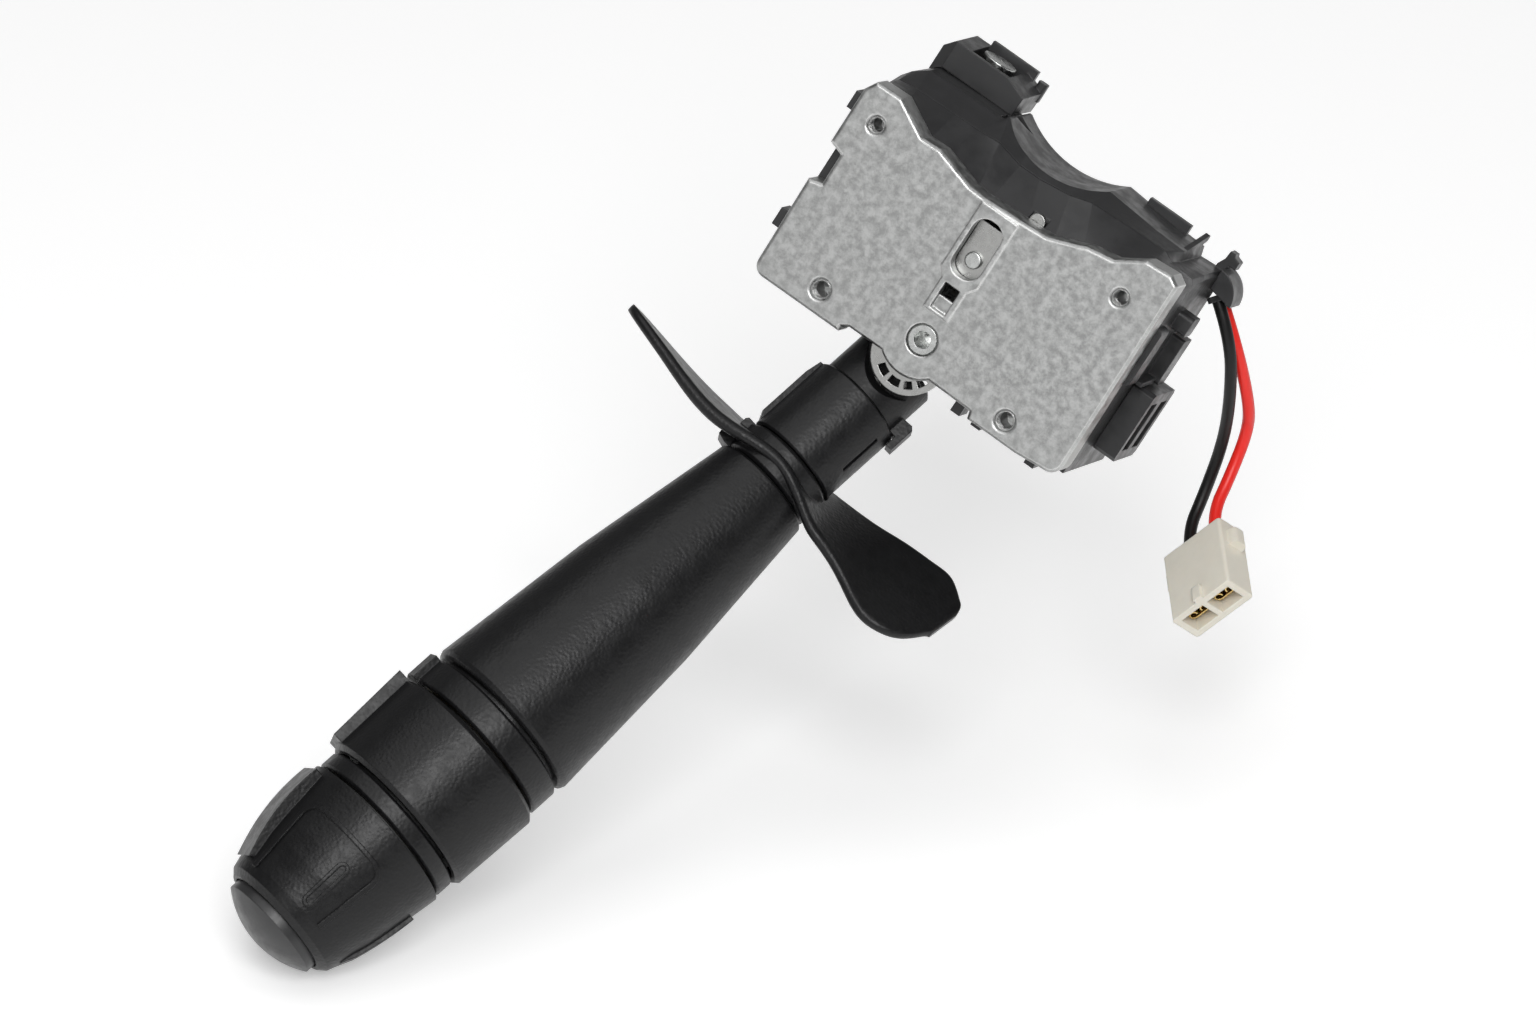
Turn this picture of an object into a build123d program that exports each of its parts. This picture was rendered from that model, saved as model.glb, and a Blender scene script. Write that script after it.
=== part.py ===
from build123d import *

import os
from math import cos, radians, sin, sqrt, tan

os.makedirs("parts", exist_ok=True)

# Combination stalk switch for a steering column, in millimetres.
# X runs along the mounting plate, Z up to its concave edge, Y back into the housing.
# The origin is on the plate's front face, midway between the two lower screw holes.

# Fits
SHAFT_GAP = 0.06
SEAT_GAP = 0.05
MOVING_GAP = 0.3

# Housing's half width, which the plate and the fittings on both ends follow
CASE_HALF_X = 44.0
LEFT = -CASE_HALF_X
RIGHT = CASE_HALF_X

# Mounting plate, a die casting
PLATE_T = 3.0
RIM_T = 2.0
RIM_DEPTH = 8.0
CAST_EDGE = 0.7
LOWER_SCREW_R = 2.5
LOWER_SCREW_X = 27.0
UPPER_SCREW_R = 2.1
UPPER_SCREW_LEFT = (LEFT + 6.9, 39.9)
UPPER_SCREW_RIGHT = (RIGHT - 10.1, 39.9)
SCREW_DEPTH = 11.0
SCREW_MOUTH = 0.5
BOSS_WALL = 2.4
BOSS_DEPTH = 12.0

# Turn pivot
PIVOT_X = 0.0
PIVOT_Z = 4.3
PIVOT_PIN_R = 3.9
PIVOT_HOLE_R = 2.1
PIVOT_PIN_END = 12.5
LIP_R = 10.0

# Slots in the plate over the cancelling pawl
SLOT_X = -0.7
SLOT_W = 8.0
SLOT_BOTTOM = 21.8
SLOT_TOP = 37.3
KEY_SLOT_W = 4.2
KEY_SLOT_BOTTOM = 12.0
KEY_SLOT_TOP = 19.1
PAD_H = 0.4
PAD_HALF_W = 5.2
PAD_NECK_HALF_W = 3.5

# Cancelling pawl's return spring
SPRING_X = -9.0
SPRING_Y = 4.9
SPRING_FOOT = 21.1
SPRING_TOP = 31.3

# Housing
CASE_WALL = 2.2
CASE_JOINT = 17.0
CASE_BACK = 41.5
COVER_T = 2.5
CASE_BOTTOM = -4.0
THROAT_LEFT = -21.5
THROAT_RIGHT = 12.0
THROAT_BACK = 37.0

# Lever placement: where its neck ends under the plate, and the two angles it hangs at
NECK_X = -5.0
NECK_Y = 16.0
NECK_Z = -8.9
LEVER_LEAN = 29.0
LEVER_CANT = 10.7

# Lever stations along its axis from the neck's end
NECK_START = -1.2
SLEEVE_START = 12.2
SLEEVE_END = 34.0
HUB_START = SLEEVE_END + 0.4
HUB_END = 42.8
GRIP_START = 43.2
GRIP_END = 127.6
UPPER_INDEX_START = 128.8
UPPER_INDEX_END = 136.3
RING_START = 137.3
RING_END = 160.6
LOWER_INDEX_START = 161.2
LOWER_INDEX_END = 165.8
KNOB_START = 166.7
KNOB_END = 198.0
BUTTON_BASE = 199.5
BUTTON_TIP = 204.4

# Lever sections
NECK_R = 10.9
NECK_CORE_R = 9.8
CORE_R = 6.0
CORE_WALL = 1.0
CORE_START = 4.0
SLEEVE_R = 12.2
HUB_R = 12.6
GRIP_SMALL_R = 13.4
GRIP_MIDDLE = 84.6
GRIP_MIDDLE_R = 18.3
GRIP_LARGE_R = 21.4
GRIP_WALL = 2.4
INDEX_R = 20.8
LOWER_INDEX_R = 20.3
RING_R = 22.1
RING_END_R = 21.6
RING_BORE_R = 15.0
KNOB_CARRIER_R = 11.0
BUTTON_R = 13.2
BUTTON_HOLE_R = BUTTON_R + 0.4
KNOB_TIP_R = BUTTON_HOLE_R + 1.0
KNOB_R = KNOB_TIP_R + 6.0
BUTTON_TRAVEL = 2.0
STEM_R = 3.0
SHANK_R = 5.8
SHANK_END = -17.5
TILT_STATION = -12.0
TILT_PIN_R = 2.0

# Lever carrier
CHEEK_T = 2.8
DISC_R = 9.8
DISC_FRONT = PLATE_T + MOVING_GAP
DISC_T = 2.7
CHEEK_TOP = 12.0
BRIDGE_T = 2.5
CHEEK_BACK = 34.0
REAR_DISC_R = 9.0
REAR_DISC_T = 2.6
REAR_STUB_R = 3.0
DETENT_Y = 20.0
DETENT_R = 2.5
DETENT_TRACK_R = 22.6

# Paddle
PADDLE_SPAN = 53.0
BLADE_T = 3.0

# Lead
WIRE_R = 1.5


def at_depth(depth):
    """A sketch plane parallel to the plate, this far behind its front face."""
    return Plane.XZ.offset(-depth)


lean = radians(LEVER_LEAN)
cant = radians(LEVER_CANT)
neck_point = Vector(NECK_X, NECK_Y, NECK_Z)
lever_way = Vector(-sin(cant) * cos(lean), -sin(lean), -cos(cant) * cos(lean))
across = Vector(cos(cant), 0, -sin(cant))
LEVER = Plane(origin=neck_point, x_dir=across, z_dir=lever_way)
LEVER_SECTION = Plane(origin=neck_point, x_dir=across, z_dir=across.cross(lever_way))
LEVER_AXIS = Axis(neck_point, lever_way)
LEVER_OFFSET = (neck_point - Vector(PIVOT_X, 0, PIVOT_Z)).dot(across)


def carrier_depth(depth):
    """A plane like at_depth's, centred on the pivot and turned with the lever."""
    return Plane(origin=(PIVOT_X, depth, PIVOT_Z), x_dir=across, z_dir=(0, -1, 0))


def polar(radius, angle):
    """A point on a circle in a sketch, its angle in degrees from local X."""
    return (radius * cos(radians(angle)), radius * sin(radians(angle)))


# Plate outline, used by the plate, its rim and its boss clearances
PLATE_EDGE = [
    (6.5, -2.9), (18.6, -3.1), (19.1, -5.0), (33.0, -5.0), (RIGHT - 4.5, -4.4), (RIGHT + 0.5, -4.0),
    (RIGHT - 0.1, 49.8), (RIGHT - 2.6, 51.3), (RIGHT - 9.5, 50.8), (27.7, 46.4), (20.8, 45.3),
    (18.4, 44.2), (11.6, 41.7), (4.1, 41.2), (-6.0, 40.7), (-10.2, 40.9), (-20.9, 44.0),
    (-26.1, 43.8), (LEFT + 8.7, 48.7), (LEFT + 1.6, 48.5), (LEFT - 0.3, 45.3), (LEFT - 0.3, 30.3),
    (LEFT + 3.4, 29.1), (LEFT + 3.5, 21.0), (LEFT, 20.1), (LEFT + 0.4, -5.9), (-18.2, -5.8),
    (-18.2, -4.6), (-16.4, -3.5), (-7.1, -3.4),
]
LOW_RIGHT = PLATE_EDGE[5]
LOW_LEFT = PLATE_EDGE[25]


def near(point):
    """A test for a sketch's corner at this point."""
    return lambda corner: abs(corner.X - point[0]) < 0.1 and abs(corner.Y - point[1]) < 0.1



with BuildSketch(Plane.XY) as plate_outline:
    with BuildLine():
        Polyline(*PLATE_EDGE)
        ThreePointArc(PLATE_EDGE[-1], (PIVOT_X, PIVOT_Z - LIP_R), PLATE_EDGE[0])
    make_face()
    fillet(plate_outline.vertices().filter_by(near(LOW_RIGHT)), 3.5)
    fillet(plate_outline.vertices().filter_by(near(LOW_LEFT)), 3.0)

screw_spots = {
    "lower": [(-LOWER_SCREW_X, 0), (LOWER_SCREW_X, 0)],
    "upper": [UPPER_SCREW_LEFT, UPPER_SCREW_RIGHT],
}
screw_radius = {"lower": LOWER_SCREW_R, "upper": UPPER_SCREW_R}

# Mounting plate: ground face, rim wall, screw bosses, slots and the raised key pad
with BuildPart() as base_plate:
    with BuildSketch(at_depth(0)):
        add(plate_outline.sketch)
    extrude(amount=-PLATE_T)
    with BuildSketch(at_depth(PLATE_T)):
        add(plate_outline.sketch)
        offset(plate_outline.sketch, amount=-RIM_T, mode=Mode.SUBTRACT)
        with Locations((0, CASE_BOTTOM)):
            Rectangle(2 * 15.5, 8.0, mode=Mode.SUBTRACT)
    extrude(amount=-(RIM_DEPTH - PLATE_T))
    chamfer(base_plate.faces().sort_by(Axis.Y)[0].outer_wire().edges(), CAST_EDGE)
    with BuildSketch(at_depth(PLATE_T)):
        with Locations((SPRING_X, SPRING_TOP + 1.0)):
            Rectangle(5.0, 2.0)
    extrude(amount=-4.0)
    for row, spots in screw_spots.items():
        with BuildSketch(at_depth(PLATE_T)):
            with Locations(*spots):
                Circle(screw_radius[row] + BOSS_WALL)
        extrude(amount=-(BOSS_DEPTH - PLATE_T))
    with BuildSketch(at_depth(0)):
        with BuildLine():
            Polyline(
                (SLOT_X - PAD_HALF_W, SLOT_TOP + 2.6), (SLOT_X - PAD_HALF_W, SLOT_BOTTOM),
                (SLOT_X - PAD_NECK_HALF_W, SLOT_BOTTOM - 2.2), (SLOT_X - PAD_NECK_HALF_W, 11.3),
                (SLOT_X + PAD_NECK_HALF_W, 11.3), (SLOT_X + PAD_NECK_HALF_W, SLOT_BOTTOM - 2.2),
                (SLOT_X + PAD_HALF_W, SLOT_BOTTOM), (SLOT_X + PAD_HALF_W, SLOT_TOP + 2.6),
                close=True,
            )
        make_face()
    extrude(amount=PAD_H)
    with BuildSketch(at_depth(-PAD_H)):
        with Locations((SLOT_X, (SLOT_BOTTOM + SLOT_TOP) / 2)):
            RectangleRounded(SLOT_W, SLOT_TOP - SLOT_BOTTOM, SLOT_W / 2 - 0.4)
        with Locations((SLOT_X, (KEY_SLOT_BOTTOM + KEY_SLOT_TOP) / 2)):
            Rectangle(KEY_SLOT_W, KEY_SLOT_TOP - KEY_SLOT_BOTTOM)
    extrude(amount=-(PLATE_T + PAD_H), mode=Mode.SUBTRACT)
    with BuildSketch(at_depth(PLATE_T)):
        with Locations((SLOT_X, KEY_SLOT_BOTTOM + 1.7)):
            Rectangle(KEY_SLOT_W, 3.4)
    extrude(amount=1.4)
    with BuildSketch(at_depth(0)):
        with Locations((PIVOT_X, PIVOT_Z)):
            Circle(PIVOT_PIN_R + SEAT_GAP)
    extrude(amount=-PLATE_T, mode=Mode.SUBTRACT)
    for row, spots in screw_spots.items():
        with BuildSketch(at_depth(0)):
            with Locations(*spots):
                Circle(screw_radius[row])
        extrude(amount=-SCREW_DEPTH, mode=Mode.SUBTRACT)
        with BuildSketch(at_depth(0)):
            with Locations(*spots):
                Circle(screw_radius[row] + SCREW_MOUTH)
        extrude(amount=-SCREW_MOUTH, taper=45, mode=Mode.SUBTRACT)

# Pivot pin, a tubular rivet set into the plate, which carries the lever carrier
with BuildPart() as pivot_pin:
    with BuildSketch(at_depth(0.25)):
        with Locations((PIVOT_X, PIVOT_Z)):
            Circle(PIVOT_PIN_R)
    extrude(amount=-(PIVOT_PIN_END - 0.25))
    chamfer(pivot_pin.faces().sort_by(Axis.Y)[0].edges(), 0.5)
    with BuildSketch(at_depth(0)):
        with Locations((PIVOT_X, PIVOT_Z)):
            Circle(PIVOT_HOLE_R)
    extrude(amount=-(PIVOT_PIN_END - 3), mode=Mode.SUBTRACT)

# Housing outlines: the same stations along X at the plate, at the case joint and at the crest
TOP_AT_PLATE = [
    (LEFT, 44.6), (LEFT + 2.1, 48.0), (LEFT + 8.6, 48.3), (-26.2, 43.4), (-20.9, 43.6), (-10.2, 40.5),
    (-6.0, 40.3), (4.1, 40.8), (11.6, 41.3), (18.4, 43.8), (27.7, 46.0), (RIGHT - 9.5, 50.2),
    (RIGHT - 7.0, 50.4), (RIGHT - 2.6, 50.6), (RIGHT - 0.4, 48.0),
]
TOP_AT_JOINT = [
    (LEFT, 46.0), (LEFT + 1.9, 48.4), (LEFT + 7.0, 49.2), (-26.2, 49.4), (-19.0, 49.6), (-13.5, 50.1),
    (-6.5, 48.5), (-0.7, 48.5), (7.4, 49.5), (12.9, 51.1), (27.7, 51.7), (RIGHT - 10.3, 51.7),
    (RIGHT - 7.5, 50.4), (RIGHT - 1.2, 49.9), (RIGHT - 0.4, 48.6),
]
TOP_AT_CREST = [
    (LEFT, 48.0), (LEFT + 1.7, 50.2), (LEFT + 5.2, 52.9), (-26.2, 53.2), (-17.7, 53.2), (-16.6, 54.6),
    (-8.0, 54.6), (0.0, 54.4), (9.0, 54.2), (14.2, 54.0), (27.7, 52.9), (RIGHT - 7.8, 52.6),
    (RIGHT - 7.1, 50.2), (RIGHT - 0.8, 50.6), (RIGHT, 49.8),
]
FOOT = [(RIGHT, CASE_BOTTOM), (LEFT, CASE_BOTTOM)]
CAVITY_TOP_FRONT = 37.5
CAVITY_TOP_REAR = 46.2
PAWL_X = 6.0
PAWL_W = 4.0
PAWL_TIP_Y = 8.3
PAWL_TIP_T = 1.8

# Front case: a sloped, scooped band between the plate and the case joint
with BuildPart() as front_case:
    for depth, top in ((RIM_DEPTH, TOP_AT_PLATE), (CASE_JOINT, TOP_AT_JOINT)):
        with BuildSketch(at_depth(depth)):
            with BuildLine():
                Polyline(*top, *FOOT, close=True)
            make_face()
    loft(ruled=True)
    with BuildSketch(at_depth(RIM_DEPTH)):
        with Locations((0, (CASE_BOTTOM + CASE_WALL + CAVITY_TOP_FRONT) / 2)):
            Rectangle(2 * (CASE_HALF_X - CASE_WALL), CAVITY_TOP_FRONT - CASE_BOTTOM - CASE_WALL)
        with Locations(((THROAT_LEFT + THROAT_RIGHT) / 2, CASE_BOTTOM + CASE_WALL / 2)):
            Rectangle(THROAT_RIGHT - THROAT_LEFT, CASE_WALL)
    extrude(amount=-(CASE_JOINT - RIM_DEPTH), mode=Mode.SUBTRACT)
    with BuildSketch(at_depth(RIM_DEPTH)):
        with Locations((PAWL_X, 40.0)):
            Rectangle(PAWL_W + 2 * MOVING_GAP, 12.0)
    extrude(amount=-(PAWL_TIP_Y + PAWL_TIP_T + MOVING_GAP - RIM_DEPTH), mode=Mode.SUBTRACT)
    for row, spots in screw_spots.items():
        with BuildSketch(at_depth(RIM_DEPTH)):
            with Locations(*spots):
                Circle(screw_radius[row] + BOSS_WALL + MOVING_GAP)
        extrude(amount=-(BOSS_DEPTH + MOVING_GAP - RIM_DEPTH), mode=Mode.SUBTRACT)
    with BuildSketch(at_depth(RIM_DEPTH + SEAT_GAP)):
        with Locations(*[(x, CASE_BOTTOM - 1.7) for x in (-33.6, 14.5, 20.4, 36.0)]):
            Rectangle(2.6, 3.4)
        with Locations((LEFT - 1.6, 40.0), (LEFT - 1.6, 6.6)):
            Rectangle(3.4, 4.6)
        with Locations((CASE_HALF_X, 29.5)):
            RectangleRounded(3.2, 16.0, 1.4)
    extrude(amount=-6.5)

# Rear case: the saddle over the steering column, the side walls and the end fittings
SADDLE_R = 27.5
SADDLE_X = -0.8
SADDLE_LOW = 50.0
CREST_Y = 25.0
CASE_SCREWS = [(LEFT + 5.0, 1.0), (RIGHT - 5.0, 1.0), (LEFT + 5.0, 43.4), (RIGHT - 5.0, 43.4)]
CASE_SCREW_R = 1.45
with BuildPart() as rear_case:
    for depth, top in ((CASE_JOINT, TOP_AT_JOINT), (CREST_Y, TOP_AT_CREST)):
        with BuildSketch(at_depth(depth)):
            with BuildLine():
                Polyline(*top, *FOOT, close=True)
            make_face()
    loft(ruled=True)
    with BuildSketch(at_depth(CREST_Y)):
        with BuildLine():
            Polyline(*TOP_AT_CREST, *FOOT, close=True)
        make_face()
    extrude(amount=-(CASE_BACK - CREST_Y))
    with BuildSketch(at_depth(CASE_JOINT)):
        with Locations((SADDLE_X, SADDLE_LOW + SADDLE_R)):
            Circle(SADDLE_R)
    extrude(amount=-(CASE_BACK - CASE_JOINT), mode=Mode.SUBTRACT)
    with BuildSketch(at_depth(CASE_JOINT)):
        with Locations((0, (CASE_BOTTOM + CASE_WALL + CAVITY_TOP_REAR) / 2)):
            Rectangle(2 * (CASE_HALF_X - CASE_WALL), CAVITY_TOP_REAR - CASE_BOTTOM - CASE_WALL)
    extrude(amount=-(CASE_BACK - CASE_JOINT), mode=Mode.SUBTRACT)
    with BuildSketch(at_depth(CASE_JOINT)):
        with Locations(((THROAT_LEFT + THROAT_RIGHT) / 2, CASE_BOTTOM + CASE_WALL / 2)):
            Rectangle(THROAT_RIGHT - THROAT_LEFT, CASE_WALL)
    extrude(amount=-(THROAT_BACK - CASE_JOINT), mode=Mode.SUBTRACT)
    with BuildSketch(at_depth(30)):
        with Locations(*CASE_SCREWS):
            Circle(CASE_SCREW_R + 1.8)
    extrude(amount=-(CASE_BACK - 30))
    with BuildSketch(at_depth(33)):
        with Locations(*CASE_SCREWS):
            Circle(CASE_SCREW_R + SEAT_GAP)
    extrude(amount=-(CASE_BACK - 33), mode=Mode.SUBTRACT)
    with BuildSketch(Plane.YZ.offset(RIGHT - 9.0)):
        with BuildLine():
            Polyline(
                (27.0, 50.5), (CASE_BACK, 50.5), (CASE_BACK, 53.4), (CASE_BACK + 2.2, 54.0),
                (CASE_BACK + 2.2, 55.3), (CASE_BACK + 1.4, 55.7), (27.0, 52.4), close=True,
            )
        make_face()
    extrude(amount=1.2)
    with BuildSketch(Plane.YZ.offset(CASE_HALF_X - 0.5)):
        with Locations((24.5, 38.8)):
            RectangleRounded(6.4, 5.0, 1.2)
    extrude(amount=4.4)
    with BuildSketch(Plane.YZ.offset(CASE_HALF_X - 0.5)):
        with Locations((32.5, 27.9)):
            RectangleRounded(6.5, 12.6, 0.8)
    extrude(amount=4.0)
    with BuildSketch(Plane.YZ.offset(CASE_HALF_X - 0.5)):
        with BuildLine():
            Polyline((18.0, 21.3), (33.0, 21.3), (33.0, 23.0), (18.0, 22.4), close=True)
        make_face()
    extrude(amount=3.0)
    with BuildSketch(Plane.XY.offset(TOP_AT_CREST[3][1] + 2)):
        with BuildLine():
            Polyline((-18.9, 27.0), (-11.5, 36.5), (-18.9, 34.0), close=True)
        make_face()
    extrude(amount=-5.0, mode=Mode.SUBTRACT)

# Rear cover: closes the case and carries the carrier's rear journal
with BuildPart() as rear_cover:
    with BuildSketch(at_depth(CASE_BACK)):
        with BuildLine():
            Polyline(*TOP_AT_CREST, *FOOT, close=True)
        make_face()
        with Locations((SADDLE_X, SADDLE_LOW + SADDLE_R)):
            Circle(SADDLE_R, mode=Mode.SUBTRACT)
        with Locations(*CASE_SCREWS):
            Circle(CASE_SCREW_R + SEAT_GAP, mode=Mode.SUBTRACT)
    extrude(amount=-COVER_T)
    with BuildSketch(at_depth(CASE_BACK)):
        with Locations((25.4, 52.8)):
            Rectangle(12.0, 4.8)
    extrude(amount=-2.0)
    with BuildSketch(at_depth(CASE_BACK + MOVING_GAP)):
        with BuildLine():
            Polyline(
                (RIGHT - 2.6, 48.5), (RIGHT - 0.1, 48.5), (RIGHT - 0.1, 52.4), (RIGHT + 1.9, 52.4),
                (RIGHT + 1.9, 54.4), (RIGHT + 0.3, 55.0), (RIGHT, 55.7), (RIGHT - 1.4, 55.7),
                (RIGHT - 1.6, 53.5), (RIGHT - 2.6, 51.5), close=True,
            )
        make_face()
    extrude(amount=-3.8)
    with BuildSketch(at_depth(CHEEK_BACK + REAR_DISC_T + MOVING_GAP)):
        with Locations((PIVOT_X, PIVOT_Z)):
            Circle(REAR_STUB_R + SHAFT_GAP + 2.4)
    extrude(amount=-(CASE_BACK - CHEEK_BACK - REAR_DISC_T - MOVING_GAP))
    with BuildSketch(at_depth(CHEEK_BACK + REAR_DISC_T)):
        with Locations((PIVOT_X, PIVOT_Z)):
            Circle(REAR_STUB_R + SHAFT_GAP)
    extrude(amount=-(CASE_BACK - CHEEK_BACK - REAR_DISC_T), mode=Mode.SUBTRACT)

# Screws that hold the rear cover
with BuildPart() as case_screws:
    with BuildSketch(at_depth(34.0)):
        with Locations(*CASE_SCREWS):
            Circle(CASE_SCREW_R)
    extrude(amount=-(CASE_BACK + COVER_T - 34.0))
    with BuildSketch(at_depth(CASE_BACK + COVER_T)):
        with Locations(*CASE_SCREWS):
            Circle(2.6)
            RegularPolygon(1.3, 6, mode=Mode.SUBTRACT)
    extrude(amount=-1.6)
    with BuildSketch(at_depth(CASE_BACK + COVER_T)):
        with Locations(*CASE_SCREWS):
            Circle(2.0)
    extrude(amount=-0.5)

# Contact holder: the raised block with the horn contact in its top
HOLDER_FRONT = 34.5
HOLDER_BACK = 52.0
HOLDER_LEFT = LEFT + 2.0
HOLDER_RIGHT = HOLDER_LEFT + 24.0
HOLDER_FOOT = TOP_AT_CREST[3][1] + SEAT_GAP
HOLDER_TOP = 60.4
HOLDER_RISE = 0.6
HOLDER_EDGE = 3.1
RECESS_FLOOR = 56.0
HORN_X = HOLDER_LEFT + 12.6
HORN_Y = HOLDER_FRONT + 9.0
HORN_R = 4.4
HORN_T = 1.2
HORN_BASE = 59.8
HORN_STEM_R = 1.6
HORN_TRAVEL = 1.4
with BuildPart() as contact_holder:
    for depth, rise in ((HOLDER_FRONT, 0), (HOLDER_BACK, HOLDER_RISE)):
        with BuildSketch(at_depth(depth)):
            with BuildLine():
                Polyline(
                    (HOLDER_LEFT, HOLDER_FOOT - 2.7), (HOLDER_LEFT + 3.2, HOLDER_FOOT),
                    (HOLDER_RIGHT - 0.3, HOLDER_FOOT), (HOLDER_RIGHT, HOLDER_TOP - 2.2 + rise),
                    (HOLDER_RIGHT - 5.8, HOLDER_TOP + rise), (HOLDER_LEFT + 2.7, HOLDER_TOP + rise),
                    (HOLDER_LEFT, HOLDER_TOP - 3.2 + rise), close=True,
                )
            make_face()
    loft(ruled=True)
    with BuildSketch(Plane.XY.offset(HOLDER_FOOT - 4.0)):
        with BuildLine():
            Polyline(
                (HOLDER_LEFT - 1.0, HOLDER_FRONT - 1.0),
                (HOLDER_LEFT + HOLDER_EDGE + 1.0, HOLDER_FRONT - 1.0),
                (HOLDER_LEFT - 1.0, HOLDER_FRONT + HOLDER_EDGE + 1.0), close=True,
            )
        make_face()
    extrude(amount=14.0, mode=Mode.SUBTRACT)
    with BuildSketch(at_depth(CASE_BACK + COVER_T + SEAT_GAP)):
        with Locations((HORN_X, HOLDER_FOOT - 2.5)):
            Rectangle(12.0, 6.0)
    extrude(amount=-3.0)
    with BuildSketch(Plane.XY.offset(HOLDER_TOP - 1.0)):
        with Locations((HORN_X + 1.2, HOLDER_BACK - 0.9)):
            Rectangle(13.4, 1.8)
    extrude(amount=3.2)
    with BuildSketch(Plane.XY.offset(HOLDER_TOP - 4.0)):
        with Locations((HOLDER_RIGHT - 1.0, HOLDER_BACK - 1.4)):
            RectangleRounded(2.6, 2.8, 0.9)
    extrude(amount=4.8)
    with BuildSketch(Plane.XY.offset(RECESS_FLOOR)):
        with Locations((HORN_X, (HOLDER_FRONT + 1.4 + HOLDER_BACK - 1.8) / 2)):
            Rectangle(2 * HORN_R + 2.4, HOLDER_BACK - HOLDER_FRONT - 3.2)
    extrude(amount=HOLDER_TOP + 2 * HOLDER_RISE - RECESS_FLOOR, mode=Mode.SUBTRACT)
    with BuildSketch(Plane.XY.offset(HOLDER_FOOT - 4.0)):
        with Locations((HORN_X, HORN_Y)):
            Circle(HORN_STEM_R + SHAFT_GAP)
    extrude(amount=RECESS_FLOOR - HOLDER_FOOT + 5.0, mode=Mode.SUBTRACT)

# Horn contact: a sprung button in the holder
with BuildPart() as horn_contact:
    with BuildSketch(Plane.XY.offset(HORN_BASE)):
        with Locations((HORN_X, HORN_Y)):
            Circle(HORN_R)
    extrude(amount=HORN_T)
    fillet(horn_contact.faces().sort_by(Axis.Z)[-1].edges(), 0.35)
    with BuildSketch(Plane.XY.offset(HORN_BASE)):
        with Locations((HORN_X, HORN_Y)):
            Circle(HORN_STEM_R)
    extrude(amount=-(HORN_BASE - HOLDER_FOOT - HORN_TRAVEL - 0.4))
    with BuildSketch(Plane.XY.offset(HORN_BASE + HORN_T)):
        with Locations((HORN_X, HORN_Y)):
            Circle(0.5)
    extrude(amount=-0.4, mode=Mode.SUBTRACT)

# Horn spring, coiled round the contact's stem
HORN_COIL_H = HORN_BASE - RECESS_FLOOR - 0.65
with BuildPart() as horn_spring:
    with BuildLine(Plane.XY.offset(RECESS_FLOOR + 0.3)) as horn_coil:
        Helix(pitch=HORN_COIL_H / 3, height=HORN_COIL_H, radius=2.5, center=(HORN_X, HORN_Y, 0))
    with BuildSketch(Plane(origin=horn_coil.line @ 0, z_dir=horn_coil.line % 0)):
        Circle(0.25)
    sweep(path=horn_coil.line, is_frenet=True)

# Multi-pin socket on the right end, with its blades
SOCKET_X = CASE_HALF_X + SEAT_GAP
SOCKET_END = SOCKET_X + 5.95
SOCKET_Y = 31.5
SOCKET_Z = 11.4
SOCKET_W = 19.0
SOCKET_H = 19.0
SOCKET_OPEN_W = 5.4
SOCKET_OPEN_H = 13.2
with BuildPart() as socket_shell:
    with BuildSketch(Plane.YZ.offset(SOCKET_X)):
        with Locations((SOCKET_Y, SOCKET_Z)):
            Rectangle(SOCKET_W, SOCKET_H)
    extrude(amount=SOCKET_END - SOCKET_X)
    chamfer(socket_shell.edges().filter_by(Axis.X), 1.0)
    with BuildSketch(Plane.YZ.offset(SOCKET_END)):
        with Locations((SOCKET_Y + 4.4, SOCKET_Z), (SOCKET_Y - 4.4, SOCKET_Z)):
            Rectangle(SOCKET_OPEN_W, SOCKET_OPEN_H)
    extrude(amount=-(SOCKET_END - SOCKET_X - 0.9), mode=Mode.SUBTRACT)

with BuildPart() as socket_blades:
    with BuildSketch(Plane.YZ.offset(SOCKET_X + 0.9)):
        for row in (-4.4, 4.4):
            with Locations((SOCKET_Y + row, SOCKET_Z)):
                with GridLocations(0, 4.4, 1, 3):
                    Rectangle(0.8, 2.8)
    extrude(amount=3.6)

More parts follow.
